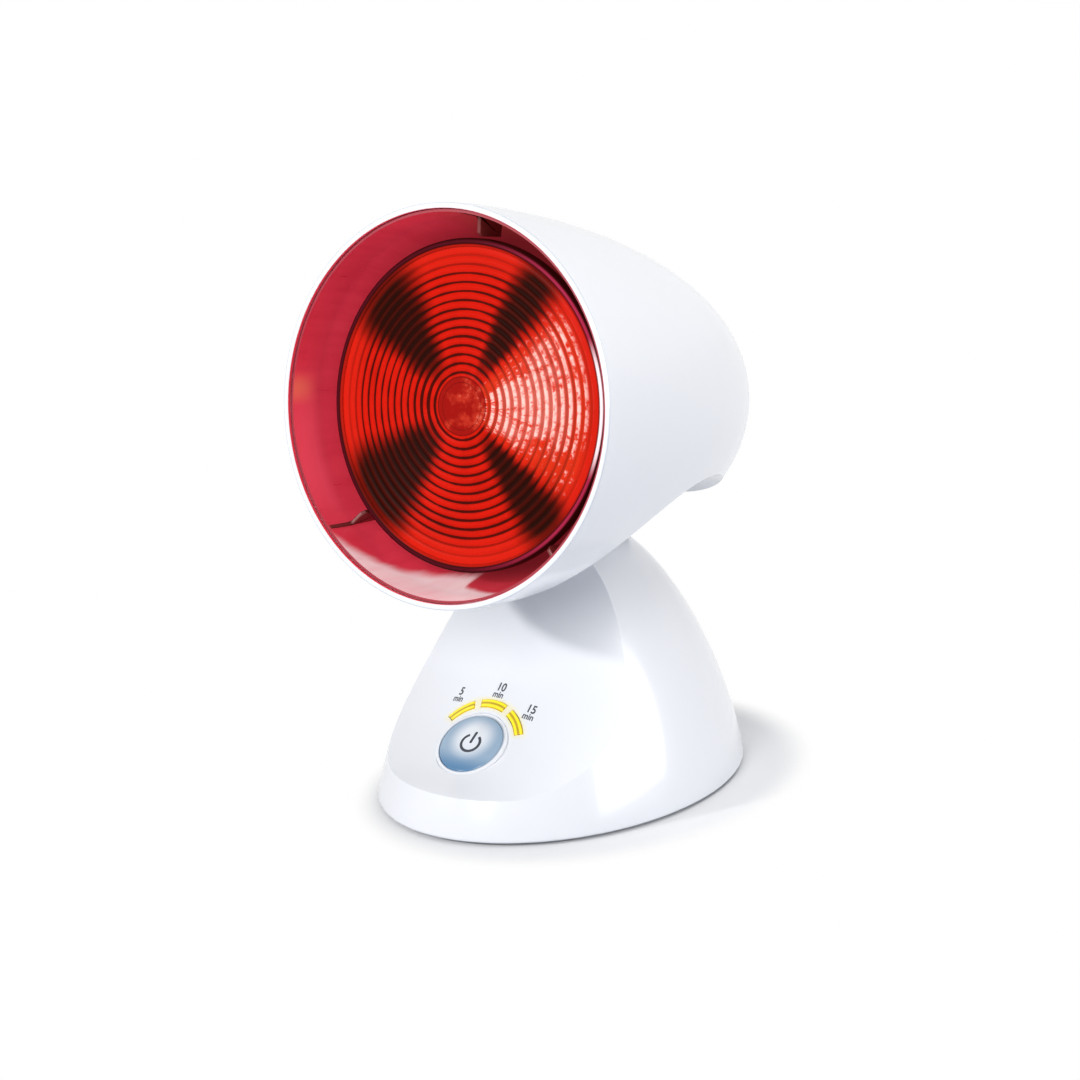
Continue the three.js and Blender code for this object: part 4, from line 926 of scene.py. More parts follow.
class LAMP_OT_controls(bpy.types.Operator):
    """Make the push button, its ring and symbol, the lit arcs and their legends"""

    bl_idname = "lamp.controls"
    bl_label = "Controls"

    def execute(self, context):
        sizes, controls = context.scene.base_sizes, context.scene.control_sizes
        frame_matrix = controls_frame(sizes)
        self.button(controls, frame_matrix)
        self.ring(controls, frame_matrix)
        self.symbol(controls, frame_matrix)
        self.windows(context.scene)
        self.legends(context.scene)
        return {"FINISHED"}

    def button(self, controls, frame_matrix):
        radius, stand, crown = controls.button_radius, controls.button_stand, controls.button_crown
        outline = [(0, stand + crown)]
        for i in range(1, 25):
            share = i / 25
            outline.append((radius * CROWN_SHARE * share, stand + crown * (1 - share ** 2)))
        edge = radius * (1 - CROWN_SHARE)
        outline += [(radius - edge + edge * s, stand - edge + edge * c) for s, c in quarter(8)]
        outline += [(radius, -controls.button_depth), (0, -controls.button_depth)]
        cap = settle(smooth(turned("button_cap", outline, 128), 40), frame_matrix)
        finish_piece(cap, "button", button_blue(controls, frame_matrix), "blue_button", "power_button")

    def ring(self, controls, frame_matrix):
        """A ring whose narrow inner lip stands up and whose rest slopes to the panel."""
        inner = controls.button_radius + controls.seam
        outer = inner + controls.ring_width + 2 * controls.ring_gap - 2 * controls.seam
        high, low, edge = controls.ring_stand, -controls.ring_depth, controls.ring_round
        outline = [(inner, low), (outer, low), (outer, -edge), (inner + controls.ring_lip + edge, 0)]
        lip = inner + controls.ring_lip - edge
        outline += [(lip + edge * c, high - edge + edge * s) for s, c in quarter(6)]
        outline += [(inner + edge - edge * s, high - edge + edge * c) for s, c in quarter(6)]
        ring = settle(smooth(turned("button_border", outline, 128), 40), frame_matrix)
        finish_piece(ring, "base", border_silver(controls, frame_matrix), "silver", "button_ring")

    def symbol(self, controls, frame_matrix):
        """A ring open at the top, and a stroke with round ends in its gap."""
        radius, line, gap = controls.symbol_radius, controls.symbol_line, controls.symbol_gap
        inner, outer = radius - line / 2, radius + line / 2
        ring = arc_bar("power_symbol", inner, outer, gap, 2 * math.pi - gap, *SYMBOL_SPAN, 96)
        low, high = SYMBOL_SPAN
        head, foot = radius * 1.25, radius * 0.07
        middle = (0, (head + foot) / 2, (high + low) / 2)
        stroke = block("symbol_stroke", (line, head - foot, high - low), middle)
        combine(stroke, [stroke_end(line, head), stroke_end(line, foot)], "UNION")
        combine(ring, [stroke], "UNION")
        settle(ring, Matrix.Translation(SYMBOL_MOVE))
        follow_crown(ring, controls)
        settle(smooth(ring, 40), frame_matrix)
        finish_piece(ring, "button", print_grey(), "black_part")

    def windows(self, scene):
        sizes, controls = scene.base_sizes, scene.control_sizes
        glow = window_yellow(scene)
        for index, name in enumerate(("five", "ten", "fifteen")):
            bar = flat_arc(f"lit_arc_{name}", index, controls)
            onto_panel(bar, sizes, controls.window_stand)
            thicken(bar, controls.window_depth)
            round_edges(bar, controls.window_round, 3, 50)
            smooth(bar, 40)
            finish_piece(bar, "base", glow, "yellow_light", f"light_guide_{name}")

    def legends(self, scene):
        sizes, controls = scene.base_sizes, scene.control_sizes
        grey = print_grey()
        for digits, x, y in LEGENDS:
            rows = ((f"legend_{digits}", digits, controls.digit_size, 0),
                    (f"legend_{digits}_min", "min", controls.unit_size, controls.unit_drop))
            for name, body, size, drop in rows:
                word = lettering(name, body, size)
                only(word)
                bpy.ops.transform.translate(value=(x, y + drop, 0))
                bpy.ops.object.transform_apply(location=True)
                onto_panel(word, sizes, INK_STAND)
                thicken(word, INK_DEPTH, 1)
                finish_piece(word, "base", grey, "black_part")


def stroke_end(line, height):
    tool = rod("stroke_end", line / 2, *SYMBOL_SPAN, 24)
    only(tool)
    bpy.ops.transform.translate(value=(0, height, 0))
    bpy.ops.object.transform_apply(location=True)
    return tool


def follow_crown(obj, controls):
    """Lowers or lifts a flat thing so that it lies on the button's crown."""
    radius = controls.button_radius * CROWN_SHARE
    middle = sum(SYMBOL_SPAN) / 2
    for vertex in obj.data.vertices:
        share = math.hypot(vertex.co.x, vertex.co.y) / radius
        crown = controls.button_stand + controls.button_crown * (1 - share ** 2)
        vertex.co.z = crown + (SYMBOL_STAND if vertex.co.z > middle else -SYMBOL_SINK)


def flat_arc(name, index, controls, steps=48):
    half = controls.window_span / 2
    middle = (index - 1) * controls.window_pitch
    deselect_all()
    bpy.ops.mesh.primitive_grid_add(x_subdivisions=8, y_subdivisions=steps, size=2, location=(0, 0, 0))
    obj = named(name)
    for vertex in obj.data.vertices:
        u, v, _ = vertex.co
        radius = controls.window_inner + controls.window_width * (u + 1) / 2
        angle = middle + half * v
        vertex.co = (radius * math.sin(angle), radius * math.cos(angle), 0)
    return face_up(obj)


def face_up(obj):
    """Turns a flat thing's faces to local +Z."""
    only(obj)
    bpy.ops.object.mode_set(mode="EDIT")
    bpy.ops.mesh.select_all(action="SELECT")
    if obj.data.polygons[0].normal.z < 0:
        bpy.ops.mesh.flip_normals()
    bpy.ops.object.mode_set(mode="OBJECT")
    return obj


def lettering(name, body, size):
    deselect_all()
    bpy.ops.object.text_add(location=(0, 0, 0))
    text = bpy.context.object
    text.name = name
    text.data.body = body
    text.data.size = size
    text.data.align_x = "CENTER"
    text.data.align_y = "CENTER"
    text.data.offset = size * LETTER_BOLD
    text.scale = (LETTER_WIDTH, 1, 1)
    bpy.ops.object.convert(target="MESH")
    bpy.ops.object.transform_apply(scale=True)
    return face_up(weld(named(name)))


def weld(obj):
    """Makes points that lie on each other one, and leaves the faces' sides as they are."""
    only(obj)
    bpy.ops.object.mode_set(mode="EDIT")
    bpy.ops.mesh.select_all(action="SELECT")
    bpy.ops.mesh.remove_doubles(threshold=WELD)
    bpy.ops.object.mode_set(mode="OBJECT")
    return obj


def button_blue(controls, frame_matrix):
    finish = Finish("button_blue_plastic", linear(0xB8CADF), 0.22, coat=0.6)
    source, (x, y, z) = finish.place(frame_matrix)
    radius = controls.button_radius
    off = ((x * x + (y - radius * 0.16) ** 2).root()) / radius
    # A painted highlight on the crown, a little above its middle, and painted shade darker towards the lower
    # edge
    pale = 1 - off.ramp(0.30, 0.86)
    low = ((0 - y) / radius + off * 0.2).ramp(0.45, 1.15)
    body = finish.mix(low, linear(0x9DB6CC), linear(0x4F82AC))
    finish.paint(finish.mix(pale, body, linear(0xF1F4F8)))
    finish.rough(0.2 + finish.noise(source, 300.0) * 0.06)
    return finish.material


def border_silver(controls, frame_matrix):
    """Silver on the lip and the panel's white on the rest."""
    finish = Finish("border_silver", linear(0xC6CCD6), 0.3, coat=0.3)
    source, (x, y, z) = finish.place(frame_matrix)
    grain = finish.noise(source, 900.0, 3.0)
    lip, soft = controls.button_radius + controls.seam + controls.ring_lip, 0.00005
    rest = (x * x + y * y).root().ramp(lip - soft, lip + soft)
    silver = finish.mix(grain, linear(0xAEB8C6), linear(0xD2D9E2))
    finish.paint(finish.mix(rest, silver, linear(0xF3F5F8)))
    finish.rough(0.26 + grain * 0.1)
    return finish.material


def print_grey():
    finish = Finish("print_grey", bpy.context.scene.lamp_colors.ink, 0.5)
    source, _ = finish.place()
    speck = finish.noise(source, 1800.0, 3.0)
    finish.paint(finish.mix(speck, linear(0x30333C), linear(0x484C56)))
    return finish.material


def window_yellow(scene):
    """Clear yellow with an amber line along the arc and its own soft light."""
    controls = scene.control_sizes
    finish = Finish("window_yellow", linear(0xFFDF2E), 0.18, coat=0.5, Emission_Strength=0.3)
    source, (x, y, z) = finish.place(controls_frame(scene.base_sizes))
    off = (x * x + y * y).root() - (controls.window_inner + controls.window_width / 2)
    grain = finish.noise(source, 700.0)
    line = 1 - (off.absolute() / controls.window_width + (grain - 0.5) * 0.06).ramp(0.04, 0.26)
    edge = (off.absolute() / controls.window_width).ramp(0.36, 0.5)
    body = finish.mix(edge, linear(0xF8E21E), linear(0xD9BE10))
    color = finish.mix(line * 0.9, body, linear(0xA8860C))
    finish.paint(color)
    finish.feed(finish.shader.inputs["Emission Color"], color)
    return finish.material


class LAMP_OT_reflector(bpy.types.Operator):
    """Make the inner reflector with its three bulb guides"""

    bl_idname = "lamp.reflector"
    bl_label = "Reflector"

    def execute(self, context):
        scene = context.scene
        shade, bulb = scene.shade_sizes, scene.bulb_sizes
        front = shade.lip_depth + FINE_SEAM
        steps = 60
        line = []
        for i in range(steps + 1):
            back = front + (bulb.liner_end - front) * i / steps
            line.append((liner_radius(back, shade, bulb), -back))
        outside = reflector_back(scene)
        skins = (("reflector_wall", 0, 0.6, crimson_wall(scene)), ("reflector_outside", 0.62, 1, outside))
        for name, low, high, material in skins:
            inner = [(radius + bulb.liner_wall * low, height) for radius, height in line]
            outer = [(radius + bulb.liner_wall * high, height) for radius, height in line]
            skin = settle(smooth(turned(name, inner + outer[::-1], 288), 40), head_frame(scene))
            finish_piece(skin, "head", material, "crimson_wall", "shade_liner")
        material = moulded("guide_crimson", scene.lamp_colors.guide, 0.4, coat=0.05).material
        for name, angle in GUIDES:
            guide = self.guide(f"bulb_guide_{name}", shade, bulb)
            matrix = head_frame(scene) @ Matrix.Rotation(math.radians(-angle), 4, "Z")
            settle(guide, matrix)
            finish_piece(guide, "head", material, "crimson_wall")
        return {"FINISHED"}

    def guide(self, name, shade, bulb):
        """A thin rib: a low ridge from the mouth that steps in to hold the bulb's rim."""
        wall = shade.lip_radius - bulb.guide_inset
        ridge, hold = bulb.guide_ridge, bulb.rim_radius + bulb.guide_air
        step, back = bulb.guide_step, bulb.guide_back
        outline = [
            (wall, -0.002), (wall - ridge * 0.4, -0.002), (wall - ridge, -step),
            (hold + 0.0012, -step - 0.0004), (hold, -step - 0.0022), (hold, -back),
            (wall - 0.0035, -back), (wall - 0.0012, -0.012),
        ]
        deselect_all()
        bpy.ops.mesh.primitive_circle_add(vertices=len(outline), radius=1, fill_type="NGON")
        obj = named(name)
        thick = bulb.guide_thick
        for vertex, (radius, height) in zip(obj.data.vertices, outline):
            vertex.co = (-thick / 2, radius, height)
        bpy.ops.object.mode_set(mode="EDIT")
        bpy.ops.mesh.select_all(action="SELECT")
        bpy.ops.mesh.extrude_region_move(TRANSFORM_OT_translate={"value": (thick, 0, 0)})
        bpy.ops.object.mode_set(mode="OBJECT")
        tidy_faces(obj)
        return smooth(round_edges(obj, 0.0003, 2, 30), 40)


def bowl_radius(behind, bulb):
    share = max(0, (bulb.bowl_depth - behind) / (bulb.bowl_depth - bulb.bowl_band))
    wide = bulb.rim_radius - bulb.bowl_wall / 4
    return math.sqrt(bulb.bowl_neck ** 2 + (wide ** 2 - bulb.bowl_neck ** 2) * share)


def liner_radius(back, shade, bulb):
    under_shell = shade_radius(back, shade.wall, shade) - bulb.liner_gap - bulb.liner_wall
    return min(under_shell, bowl_radius(back - bulb.set_back, bulb) + bulb.liner_air)


def reflector_back(scene):
    """Pale back of the reflector, with the bulb's red light painted in crimson on its front edge, like the
    wall.
    """
    finish = moulded("reflector_back", 0xE4E6EA, 0.5)
    _, (x, y, z) = finish.place(head_frame(scene))
    # Crimson painted red light on the front edge, pale behind it
    finish.paint(finish.mix(z.ramp(-0.0032, -0.003), linear(0xE4E6EA), linear(0x9C2638)))
    return finish.material


def crimson_wall(scene):
    """Glossy wall with the bulb's red light painted on it in crimson, glowing with it: painted darker and
    browner above, with painted highlights at the left, darker deeper in, and paler where the mouth's light
    falls on it below.
    """
    finish = Finish("crimson_wall", linear(0xCD3244), 0.3, coat=0.12, Emission_Strength=0.44)
    _, (x, y, z) = finish.place(head_frame(scene))
    radius = (x * x + y * y).root()
    across, upward = x / radius, y / radius
    angle = x.angle_to(y)
    back = -z * 1000
    # Painted red light, with streaks and a broad change of tone in it
    streak = finish.noise(finish.vector(across * 16, upward * 16, back * 0.03), 1.0, 3.0, 0.6)
    broad = finish.noise(finish.vector(across * 2.4, upward * 2.4, back * 0.06), 1.0, 2.0)
    color = finish.mix(streak * 0.7 + broad * 0.6 - 0.25, linear(0xC0263A), linear(0xDE3E50))
    # A painted highlight at the lower left, a little behind the mouth
    bright = angle.band(-1.95, 0.12, 0.45) * back.band(7, 3, 9) * 0.55
    color = finish.mix(bright, color, linear(0xF05468))
    # A painted orange highlight at the left, near the mouth
    warm = angle.band(-1.60, 0.0, 0.11) * (1 - back.ramp(4, 16)) * 0.5
    color = finish.mix(warm, color, linear(0xF0805E))
    # Painted shade: darker and browner above and at the right
    brown = (angle + (broad - 0.5) * 0.3).ramp(-0.38, 0.05) * (1 - angle.ramp(2.2, 2.7) * 0.7)
    color = finish.mix(brown * 0.9, color, linear(0x96352F))
    # Painted shade, darker deeper in
    color = finish.mix(back.ramp(20, 46) * 0.8, color, linear(0x701820))
    # Paler below, where the mouth's light is painted on the wall
    away = math.pi - angle.absolute()
    leftward = (0 - x).ramp(-0.002, 0.002)
    left_half = 0.73 - back * 0.0202
    right_half = 0.44 - back.ramp(13, 28) * 0.5
    half = right_half + leftward * (left_half - right_half)
    pale = 1 - (away - half + (streak - 0.5) * 0.12).ramp(-0.12, 0.06)
    color = finish.mix(pale * 0.93, color, finish.mix(streak, linear(0xE4B6BC), linear(0xF4E0E0)))
    # The front face painted darker, as painted shade over its lit edge
    edge = scene.shade_sizes.lip_depth * 1000 + 0.06
    color = finish.mix(1 - back.ramp(edge, edge + 0.06), color, linear(0x8E2432))
    finish.paint(color)
    # The wall glows with its painted colour
    finish.feed(finish.shader.inputs["Emission Color"], color)
    finish.rough(0.24 + streak * 0.12)
    return finish.material


class LAMP_OT_bulb(bpy.types.Operator):
    """Make the ringed lens and the bowl of the bulb"""

    bl_idname = "lamp.bulb"
    bl_label = "Bulb"

    def execute(self, context):
        scene = context.scene
        bulb = scene.bulb_sizes
        matrix = head_frame(scene)
        lens = settle(smooth(turned("lens_glass", lens_outline(bulb), 224), 50), matrix)
        finish_piece(lens, "bulb", lens_red(scene), "red_glass", "bulb_lens")
        front = bulb.set_back + bulb.lens_thick + SEAM
        outer, inner = [], []
        for i in range(41):
            behind = front - bulb.set_back + (bulb.bowl_depth - front + bulb.set_back) * (i / 40) ** 0.9
            outer.append((bowl_radius(behind, bulb), -bulb.set_back - behind))
            inner.append((bowl_radius(behind, bulb) - bulb.bowl_wall, -bulb.set_back - behind))
        bowl = settle(smooth(turned("bulb_glass_bowl", outer + inner[::-1], 160), 50), matrix)
        finish_piece(bowl, "bulb", bowl_glass(), "dark_glass", "bulb_bowl")
        return {"FINISHED"}


def lens_height(radius, bulb):
    open_radius = bulb.rim_radius - bulb.lens_rim
    return -bulb.set_back + bulb.bulge * (1 - (radius / open_radius) ** 2)


def lens_outline(bulb):
    """The lens from its middle: a plain disc, pressed rings, and a raised round rim."""
    open_radius = bulb.rim_radius - bulb.lens_rim
    outline = []
    steps = 240
    for i in range(steps + 1):
        radius = open_radius * i / steps
        fade = min(1, max(0, (radius - bulb.disc_radius + bulb.ring_pitch / 2) / bulb.ring_pitch))
        fade *= min(1, max(0, (open_radius - radius) / bulb.ring_pitch))
        wave = math.cos(2 * math.pi * (radius - bulb.disc_radius) / bulb.ring_pitch)
        outline.append((radius, lens_height(radius, bulb) - fade * bulb.ring_depth * (0.5 + 0.5 * wave)))
    middle = bulb.rim_radius - bulb.lens_rim / 2
    base = lens_height(open_radius, bulb)
    for i in range(1, 17):
        angle = math.pi * (1 - i / 16)
        radius = middle + bulb.lens_rim / 2 * math.cos(angle)
        outline.append((radius, base + bulb.rim_rise * math.sin(angle)))
    back = -bulb.set_back - bulb.lens_thick
    outline += [(bulb.rim_radius, back), (open_radius, back)]
    for i in range(10, -1, -1):
        radius = open_radius * i / 10
        outline.append((radius, lens_height(radius, bulb) - bulb.lens_thick * 0.97))
    return outline


def lens_red(scene):
    """Red pressed glass with painted light: dark lines of painted shade in the grooves, four dark flanks
    painted as reflections of dark surroundings in the bowl, a painted wedge of broken light, and painted
    highlights on the disc and the rim.
    """
    bulb = scene.bulb_sizes
    finish = Finish("lens_red_glass", linear(0xDC1C12), 0.3, Emission_Strength=0.12, Specular_IOR_Level=0.015)
    source, (x, y, z) = finish.place(head_frame(scene))
    radius = (x * x + y * y).root() * 1000 + 0.001
    angle = x.angle_to(y)
    across, upward = x * 1000 / radius, y * 1000 / radius
    start = bulb.disc_radius * 1000
    ring = (radius - start) / (bulb.ring_pitch * 1000)
    groove = (ring * (2 * math.pi) + math.pi / 2).sine() * 0.5 + 0.5
    broad = finish.noise(finish.vector(across * 2.6, upward * 2.6, ring * 0.4), 1.0, 3.0)
    streak = finish.noise(finish.vector(across * 7, upward * 7, ring * 0.35), 1.0, 3.0, 0.55)
    spark = finish.noise(finish.vector(across * 22, upward * 22, ring * 1.7), 1.0, 3.0, 0.6)
    # Slightly darker in the grooves as painted shade, with a broad change of tone
    color = finish.mix(groove * 0.3 + (broad - 0.5) * 1.1, linear(0xD01B0D), linear(0x8E1009))
    color = finish.mix(radius.ramp(46, 54) * 0.6, color, linear(0xD02516))
    # Four dark flanks: painted reflections of dark surroundings in the bowl behind the lens
    bearing = angle + (broad - 0.5) * 0.18
    flank = bearing.band(-2.35, 0.09, 0.37).larger(bearing.band(-0.86, 0.05, 0.36))
    flank = flank.larger(bearing.band(0.50, 0.03, 0.23)).larger(bearing.band(2.33, 0.03, 0.25))
    reach = radius.ramp(11, 26) * (1 - radius.ramp(53, 58.5) * 0.6)
    dark = (1 - (1 - flank * reach) ** 2.2) * (0.93 + groove * 0.07)
    color = finish.mix(dark, color, linear(0x200D07))
    # A wedge of painted light at the right, orange-red under its highlights
    wedge = angle.band(1.42, 0.52, 0.24) * radius.ramp(7, 13) * (1 - radius.ramp(51, 56))
    color = finish.mix(wedge * 0.6, color, linear(0xE03C1E))
    # Dark lines of painted shade in the grooves, heavier at the left and in the flanks
    heavy = angle.band(-1.7, 0.5, 0.6) * (1 - radius.ramp(16, 26)) * 0.22
    heavy = heavy + flank * reach * 0.30 + (broad - 0.5) * 0.3
    line = (groove + heavy + (streak - 0.5) * 0.2).ramp(0.70, 0.92) * radius.ramp(start - 0.9, start - 0.2)
    line = line * (1 - radius.ramp(47, 54) * 0.7)
    dark_line = finish.mix(wedge, linear(0x280C07), linear(0x8A2412))
    color = finish.mix(line * (0.9 - wedge * 0.25), color, dark_line)
    # Painted highlights on the rings' crests in the wedge, with paler painted light round them
    crest = (1 - groove).ramp(0.30, 0.85)
    middle = (angle + radius * 0.009).band(1.68, 0.30, 0.34) * radius.ramp(8, 14)
    highlight_haze = (streak * 1.2 + middle * 0.2).ramp(0.50, 0.90) * middle
    highlight_haze = highlight_haze * radius.ramp(12, 24) * (1 - radius.ramp(38, 50))
    color = finish.mix(highlight_haze * 0.35, color, linear(0xF09080))
    bright = (streak * 0.42 + spark * 0.58 + middle * 0.15).ramp(0.53, 0.70) * crest * wedge
    color = finish.mix(bright * 0.95, color, linear(0xFFD0C4))
    # The middle disc: dark red and mottled, with painted highlights towards its right
    disc = 1 - radius.ramp(start - 1.9, start - 1.5)
    cloud = finish.noise(source, 170.0, 5.0, 0.62)
    color = finish.mix(disc, color, linear(0x9C1510))
    color = finish.mix(disc * (cloud + x * 9 - y * 5).ramp(0.46, 0.70) * 0.8, color, linear(0xD23E28))
    color = finish.mix(disc * (cloud + x * 12).ramp(0.62, 0.76) * 0.6, color, linear(0xF69A80))
    # Two dark lines of painted shade round the disc
    halo = radius.band(start - 1.6, 0.10, 0.30).larger(radius.band(start - 3.6, 0.05, 0.30) * 0.6)
    color = finish.mix(halo * 0.7, color, linear(0x5A100A))
    # The rim's glass: dark burgundy, with a painted crimson highlight and a painted glint at its right
    bead = radius.band(59.3, 0.2, 0.7) * (0.12 + angle.band(1.5, 0.7, 0.9) * 0.88)
    edge = finish.mix(bead, linear(0x300A0A), linear(0xA82848))
    glint = radius.band(59.2, 0.35, 0.5) * angle.band(1.46, 0.22, 0.22)
    edge = finish.mix(glint, edge, linear(0xFFF0F2))
    color = finish.mix(radius.ramp(57.9, 58.5), color, edge)
    finish.paint(color)
    finish.feed(finish.shader.inputs["Emission Color"], color)
    finish.rough(0.26 + streak * 0.12)
    return finish.material


def bowl_glass():
    finish = Finish("bowl_dark_glass", linear(0x6B1420), 0.12, coat=0.6)
    source, _ = finish.place()
    cloud = finish.noise(source, 40.0, 3.0)
    finish.paint(finish.mix(cloud, linear(0x54101A), linear(0x8A1C2C)))
    finish.rough(0.1 + cloud * 0.08)
    return finish.material


class LAMP_OT_fittings(bpy.types.Operator):
    """Make the feet, the cord gland, the screws, the lampholder's housing and the tilting saddle"""

    bl_idname = "lamp.fittings"
    bl_label = "Fittings"

    def execute(self, context):
        scene = context.scene
        self.feet()
        self.gland(scene.base_sizes)
        self.screws(scene)
        self.housing(scene)
        self.saddle()
        return {"FINISHED"}

    def feet(self):
        rubber = rubber_finish()
        for i in range(1, 5):
            low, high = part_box(f"foot_{i}")
            radius, edge = (high[0] - low[0]) / 2, 0.0008
            outline = [(0, low[2])]
            outline += [(radius - edge + edge * s, low[2] + edge * (1 - c)) for s, c in quarter(8)]
            outline += [(radius, high[2]), (0, high[2])]
            place = Matrix.Translation(((low[0] + high[0]) / 2, (low[1] + high[1]) / 2, 0))
            foot = settle(smooth(turned(f"rubber_foot_{i}", outline, 72), 40), place)
            finish_piece(foot, "base", rubber, "rubber", f"foot_{i}")

    def gland(self, sizes):
        low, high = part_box("cord_gland")
        radius, bore, neck = (high[0] - low[0]) / 2, 0.0037, 0.0052
        seat, edge = high[1] - 0.002, 0.0006
        outline = [(bore, low[1]), (neck, low[1]), (neck, seat), (radius, seat)]
        outline += [(radius - edge + edge * c, high[1] - edge + edge * s) for s, c in quarter(6)]
        outline += [(bore + 0.0009, high[1]), (bore, high[1] - 0.0007)]
        gland = settle(smooth(turned("cord_inlet_gland", outline, 96), 35), along_back(sizes))
        black = moulded("gland_black", 0x26272A, 0.45, variation=0.05, peel=0.15).material
        finish_piece(gland, "base", black, "black_part", "cord_gland")

    def screws(self, scene):
        steel = machined("fine_steel", scene.lamp_colors.steel, 0.3)
        for name in [f"base_screw_{i}" for i in range(1, 5)] + ["tower_screw_1", "tower_screw_2"]:
            low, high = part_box(name)
            screw = slotted_screw(f"{name}_fine", high[2] - low[2])
            place = Matrix.Translation(((low[0] + high[0]) / 2, (low[1] + high[1]) / 2, low[2]))
            finish_piece(settle(screw, place), "base", steel.material, "steel", name)
        shade = scene.shade_sizes
        for i, side in enumerate((-1, 1), 1):
            screw = slotted_screw(f"shell_screw_{i}_fine", SHELL_SCREW)
            depth = shade.boss_front + shade.boss_floor + HEAD_STAND
            place = Matrix.Translation((side * shade.boss_set, -shade.boss_drop, -depth))
            settle(screw, head_frame(scene) @ place)
            finish_piece(screw, "head", steel.material, "steel", f"shell_screw_{i}")

    def housing(self, scene):
        shade, bulb = scene.shade_sizes, scene.bulb_sizes
        """A funnel behind the reflector that closes round the lampholder."""
        front, back = bulb.liner_end + SEAM, bulb.cover_back
        radius, wall = bulb.cover_radius, bulb.cover_wall
        wide = liner_radius(bulb.liner_end, shade, bulb) + bulb.liner_wall
        bend = front + (back - front) * 0.4
        outline = [(wide, -front)]
        for i in range(1, 9):
            t = i / 8
            outline.append((wide + (radius - wide) * math.sin(math.pi / 2 * t), -front - (bend - front) * t))
        outline += [(radius - wall * (1 - c), -back + wall * (1 - s)) for s, c in quarter(8)]
        outline += [(0, -back), (0, -back + wall), (radius - wall, -back + wall), (radius - wall, -bend),
                    (wide - wall, -front)]
        cover = turned("holder_cover", outline, 128)
        holes = []
        for side in (-1, 1):
            where = Matrix.Translation((side * shade.boss_set, -shade.boss_drop, 0))
            holes.append(settle(rod("cover_hole", shade.shank_hole, *COVER_HOLE, 32), where))
        combine(cover, holes, "DIFFERENCE")
        settle(smooth(cover, 40), head_frame(scene))
        white = moulded("cover_white_plastic", 0xE6E8EC, 0.42).material
        finish_piece(cover, "head", white, "inner_white", "holder_housing")

    def saddle(self):
        source = frame["nodes"]["tilt_saddle"]
        only(source)
        bpy.ops.object.duplicate()
        saddle = named("neck_saddle")
        settle(saddle)
        smooth(round_edges(tidy_faces(saddle), 0.0004, 2, 40), 35)
        white = moulded("neck_white", bpy.context.scene.lamp_colors.neck, 0.28, coat=0.3).material
        finish_piece(saddle, "head", white, "white_shell", "tilt_saddle")


def slotted_screw(name, whole):
    """A pan-head screw that stands on its slotted head."""
    head, shank, height, edge = 0.0029, 0.0014, 0.0015, 0.0007
    outline = [(0, 0)]
    outline += [(head - edge + edge * s, edge * (1 - c)) for s, c in quarter(6)]
    outline += [(head, height), (shank, height), (shank, whole - 0.0006), (shank - 0.0005, whole), (0, whole)]
    screw = turned(name, outline, 48)
    slot = block("slot", (0.008, 0.0008, 0.0014), (0, 0, 0))
    return smooth(combine(screw, [slot], "DIFFERENCE"), 35)


class LAMP_OT_hardware(bpy.types.Operator):
    """Give the solids that show as they are their metal, plastic and rubber"""

    bl_idname = "lamp.hardware"
    bl_label = "Hardware"

    def execute(self, context):
        finishes = {
            "white_shell": moulded("neck_white_plastic", 0xF2F3F6, 0.28, coat=0.3).material,
            "inner_white": moulded("inner_white_plastic", 0xE6E8EC, 0.45).material,
            # The wall's crimson is the bulb's red light, painted on
            "crimson_wall": moulded("crimson_plastic", 0xC72F48, 0.35).material,
            "red_glass": moulded("red_glass_plain", 0xD81E14, 0.12).material,
            "dark_glass": moulded("dark_glass_plain", 0x5A0D14, 0.2).material,
            "yellow_light": moulded("led_yellow", 0xF2D300, 0.25, coat=0.5).material,
            "blue_button": moulded("button_blue_plain", 0xB4C8DE, 0.25).material,
            "silver": machined("bright_silver", 0xC8CCD2, 0.2).material,
            "steel": machined("screw_steel", 0x9BA0A6, 0.32).material,
            "brass": machined("warm_brass", 0xC9A24A, 0.28).material,
            "porcelain": moulded("glazed_porcelain", 0xEFECE4, 0.3, coat=0.5).material,
            "black_part": moulded("black_plastic", 0x26272A, 0.42, variation=0.05, peel=0.15).material,
            "board": moulded("board_green", 0x2C6B3F, 0.5, variation=0.06, peel=0.2).material,
            "blue_case": moulded("case_blue", 0x2D5FA8, 0.45).material,
            "rubber": rubber_finish(),
        }
        slots = {row["node"]: row["material_slot"] for row in frame["record"]["subparts"]}
        for name, node in frame["nodes"].items():
            for holder in node.material_slots:
                holder.material = finishes[slots[name]]
        return {"FINISHED"}


class LAMP_OT_stage(bpy.types.Operator):
    """Set up the floor, the light and the camera"""

    bl_idname = "lamp.stage"
    bl_label = "Stage"

    def execute(self, context):
        settings = context.scene.stage_settings
        deselect_all()
        bpy.ops.mesh.primitive_grid_add(x_subdivisions=8, y_subdivisions=8, size=2 * settings.floor_reach)
        floor = named("floor")
        floor.data.materials.append(floor_white(settings))
        surround(settings)
        for name, place, size in LAMPS:
            soft_lamp(f"{name}_light", place, size, getattr(settings, f"{name}_power"))
        camera(settings)
        context.scene.view_settings.view_transform = "Standard"
        return {"FINISHED"}


def background_rays(tree):
    """1 where the camera, a gloss or clear glass sees the surroundings."""
    path = tree.nodes.new("ShaderNodeLightPath")
    seen = Value(tree, path.outputs["Is Camera Ray"]).larger(Value(tree, path.outputs["Is Glossy Ray"]))
    return seen.larger(Value(tree, path.outputs["Is Transmission Ray"]))


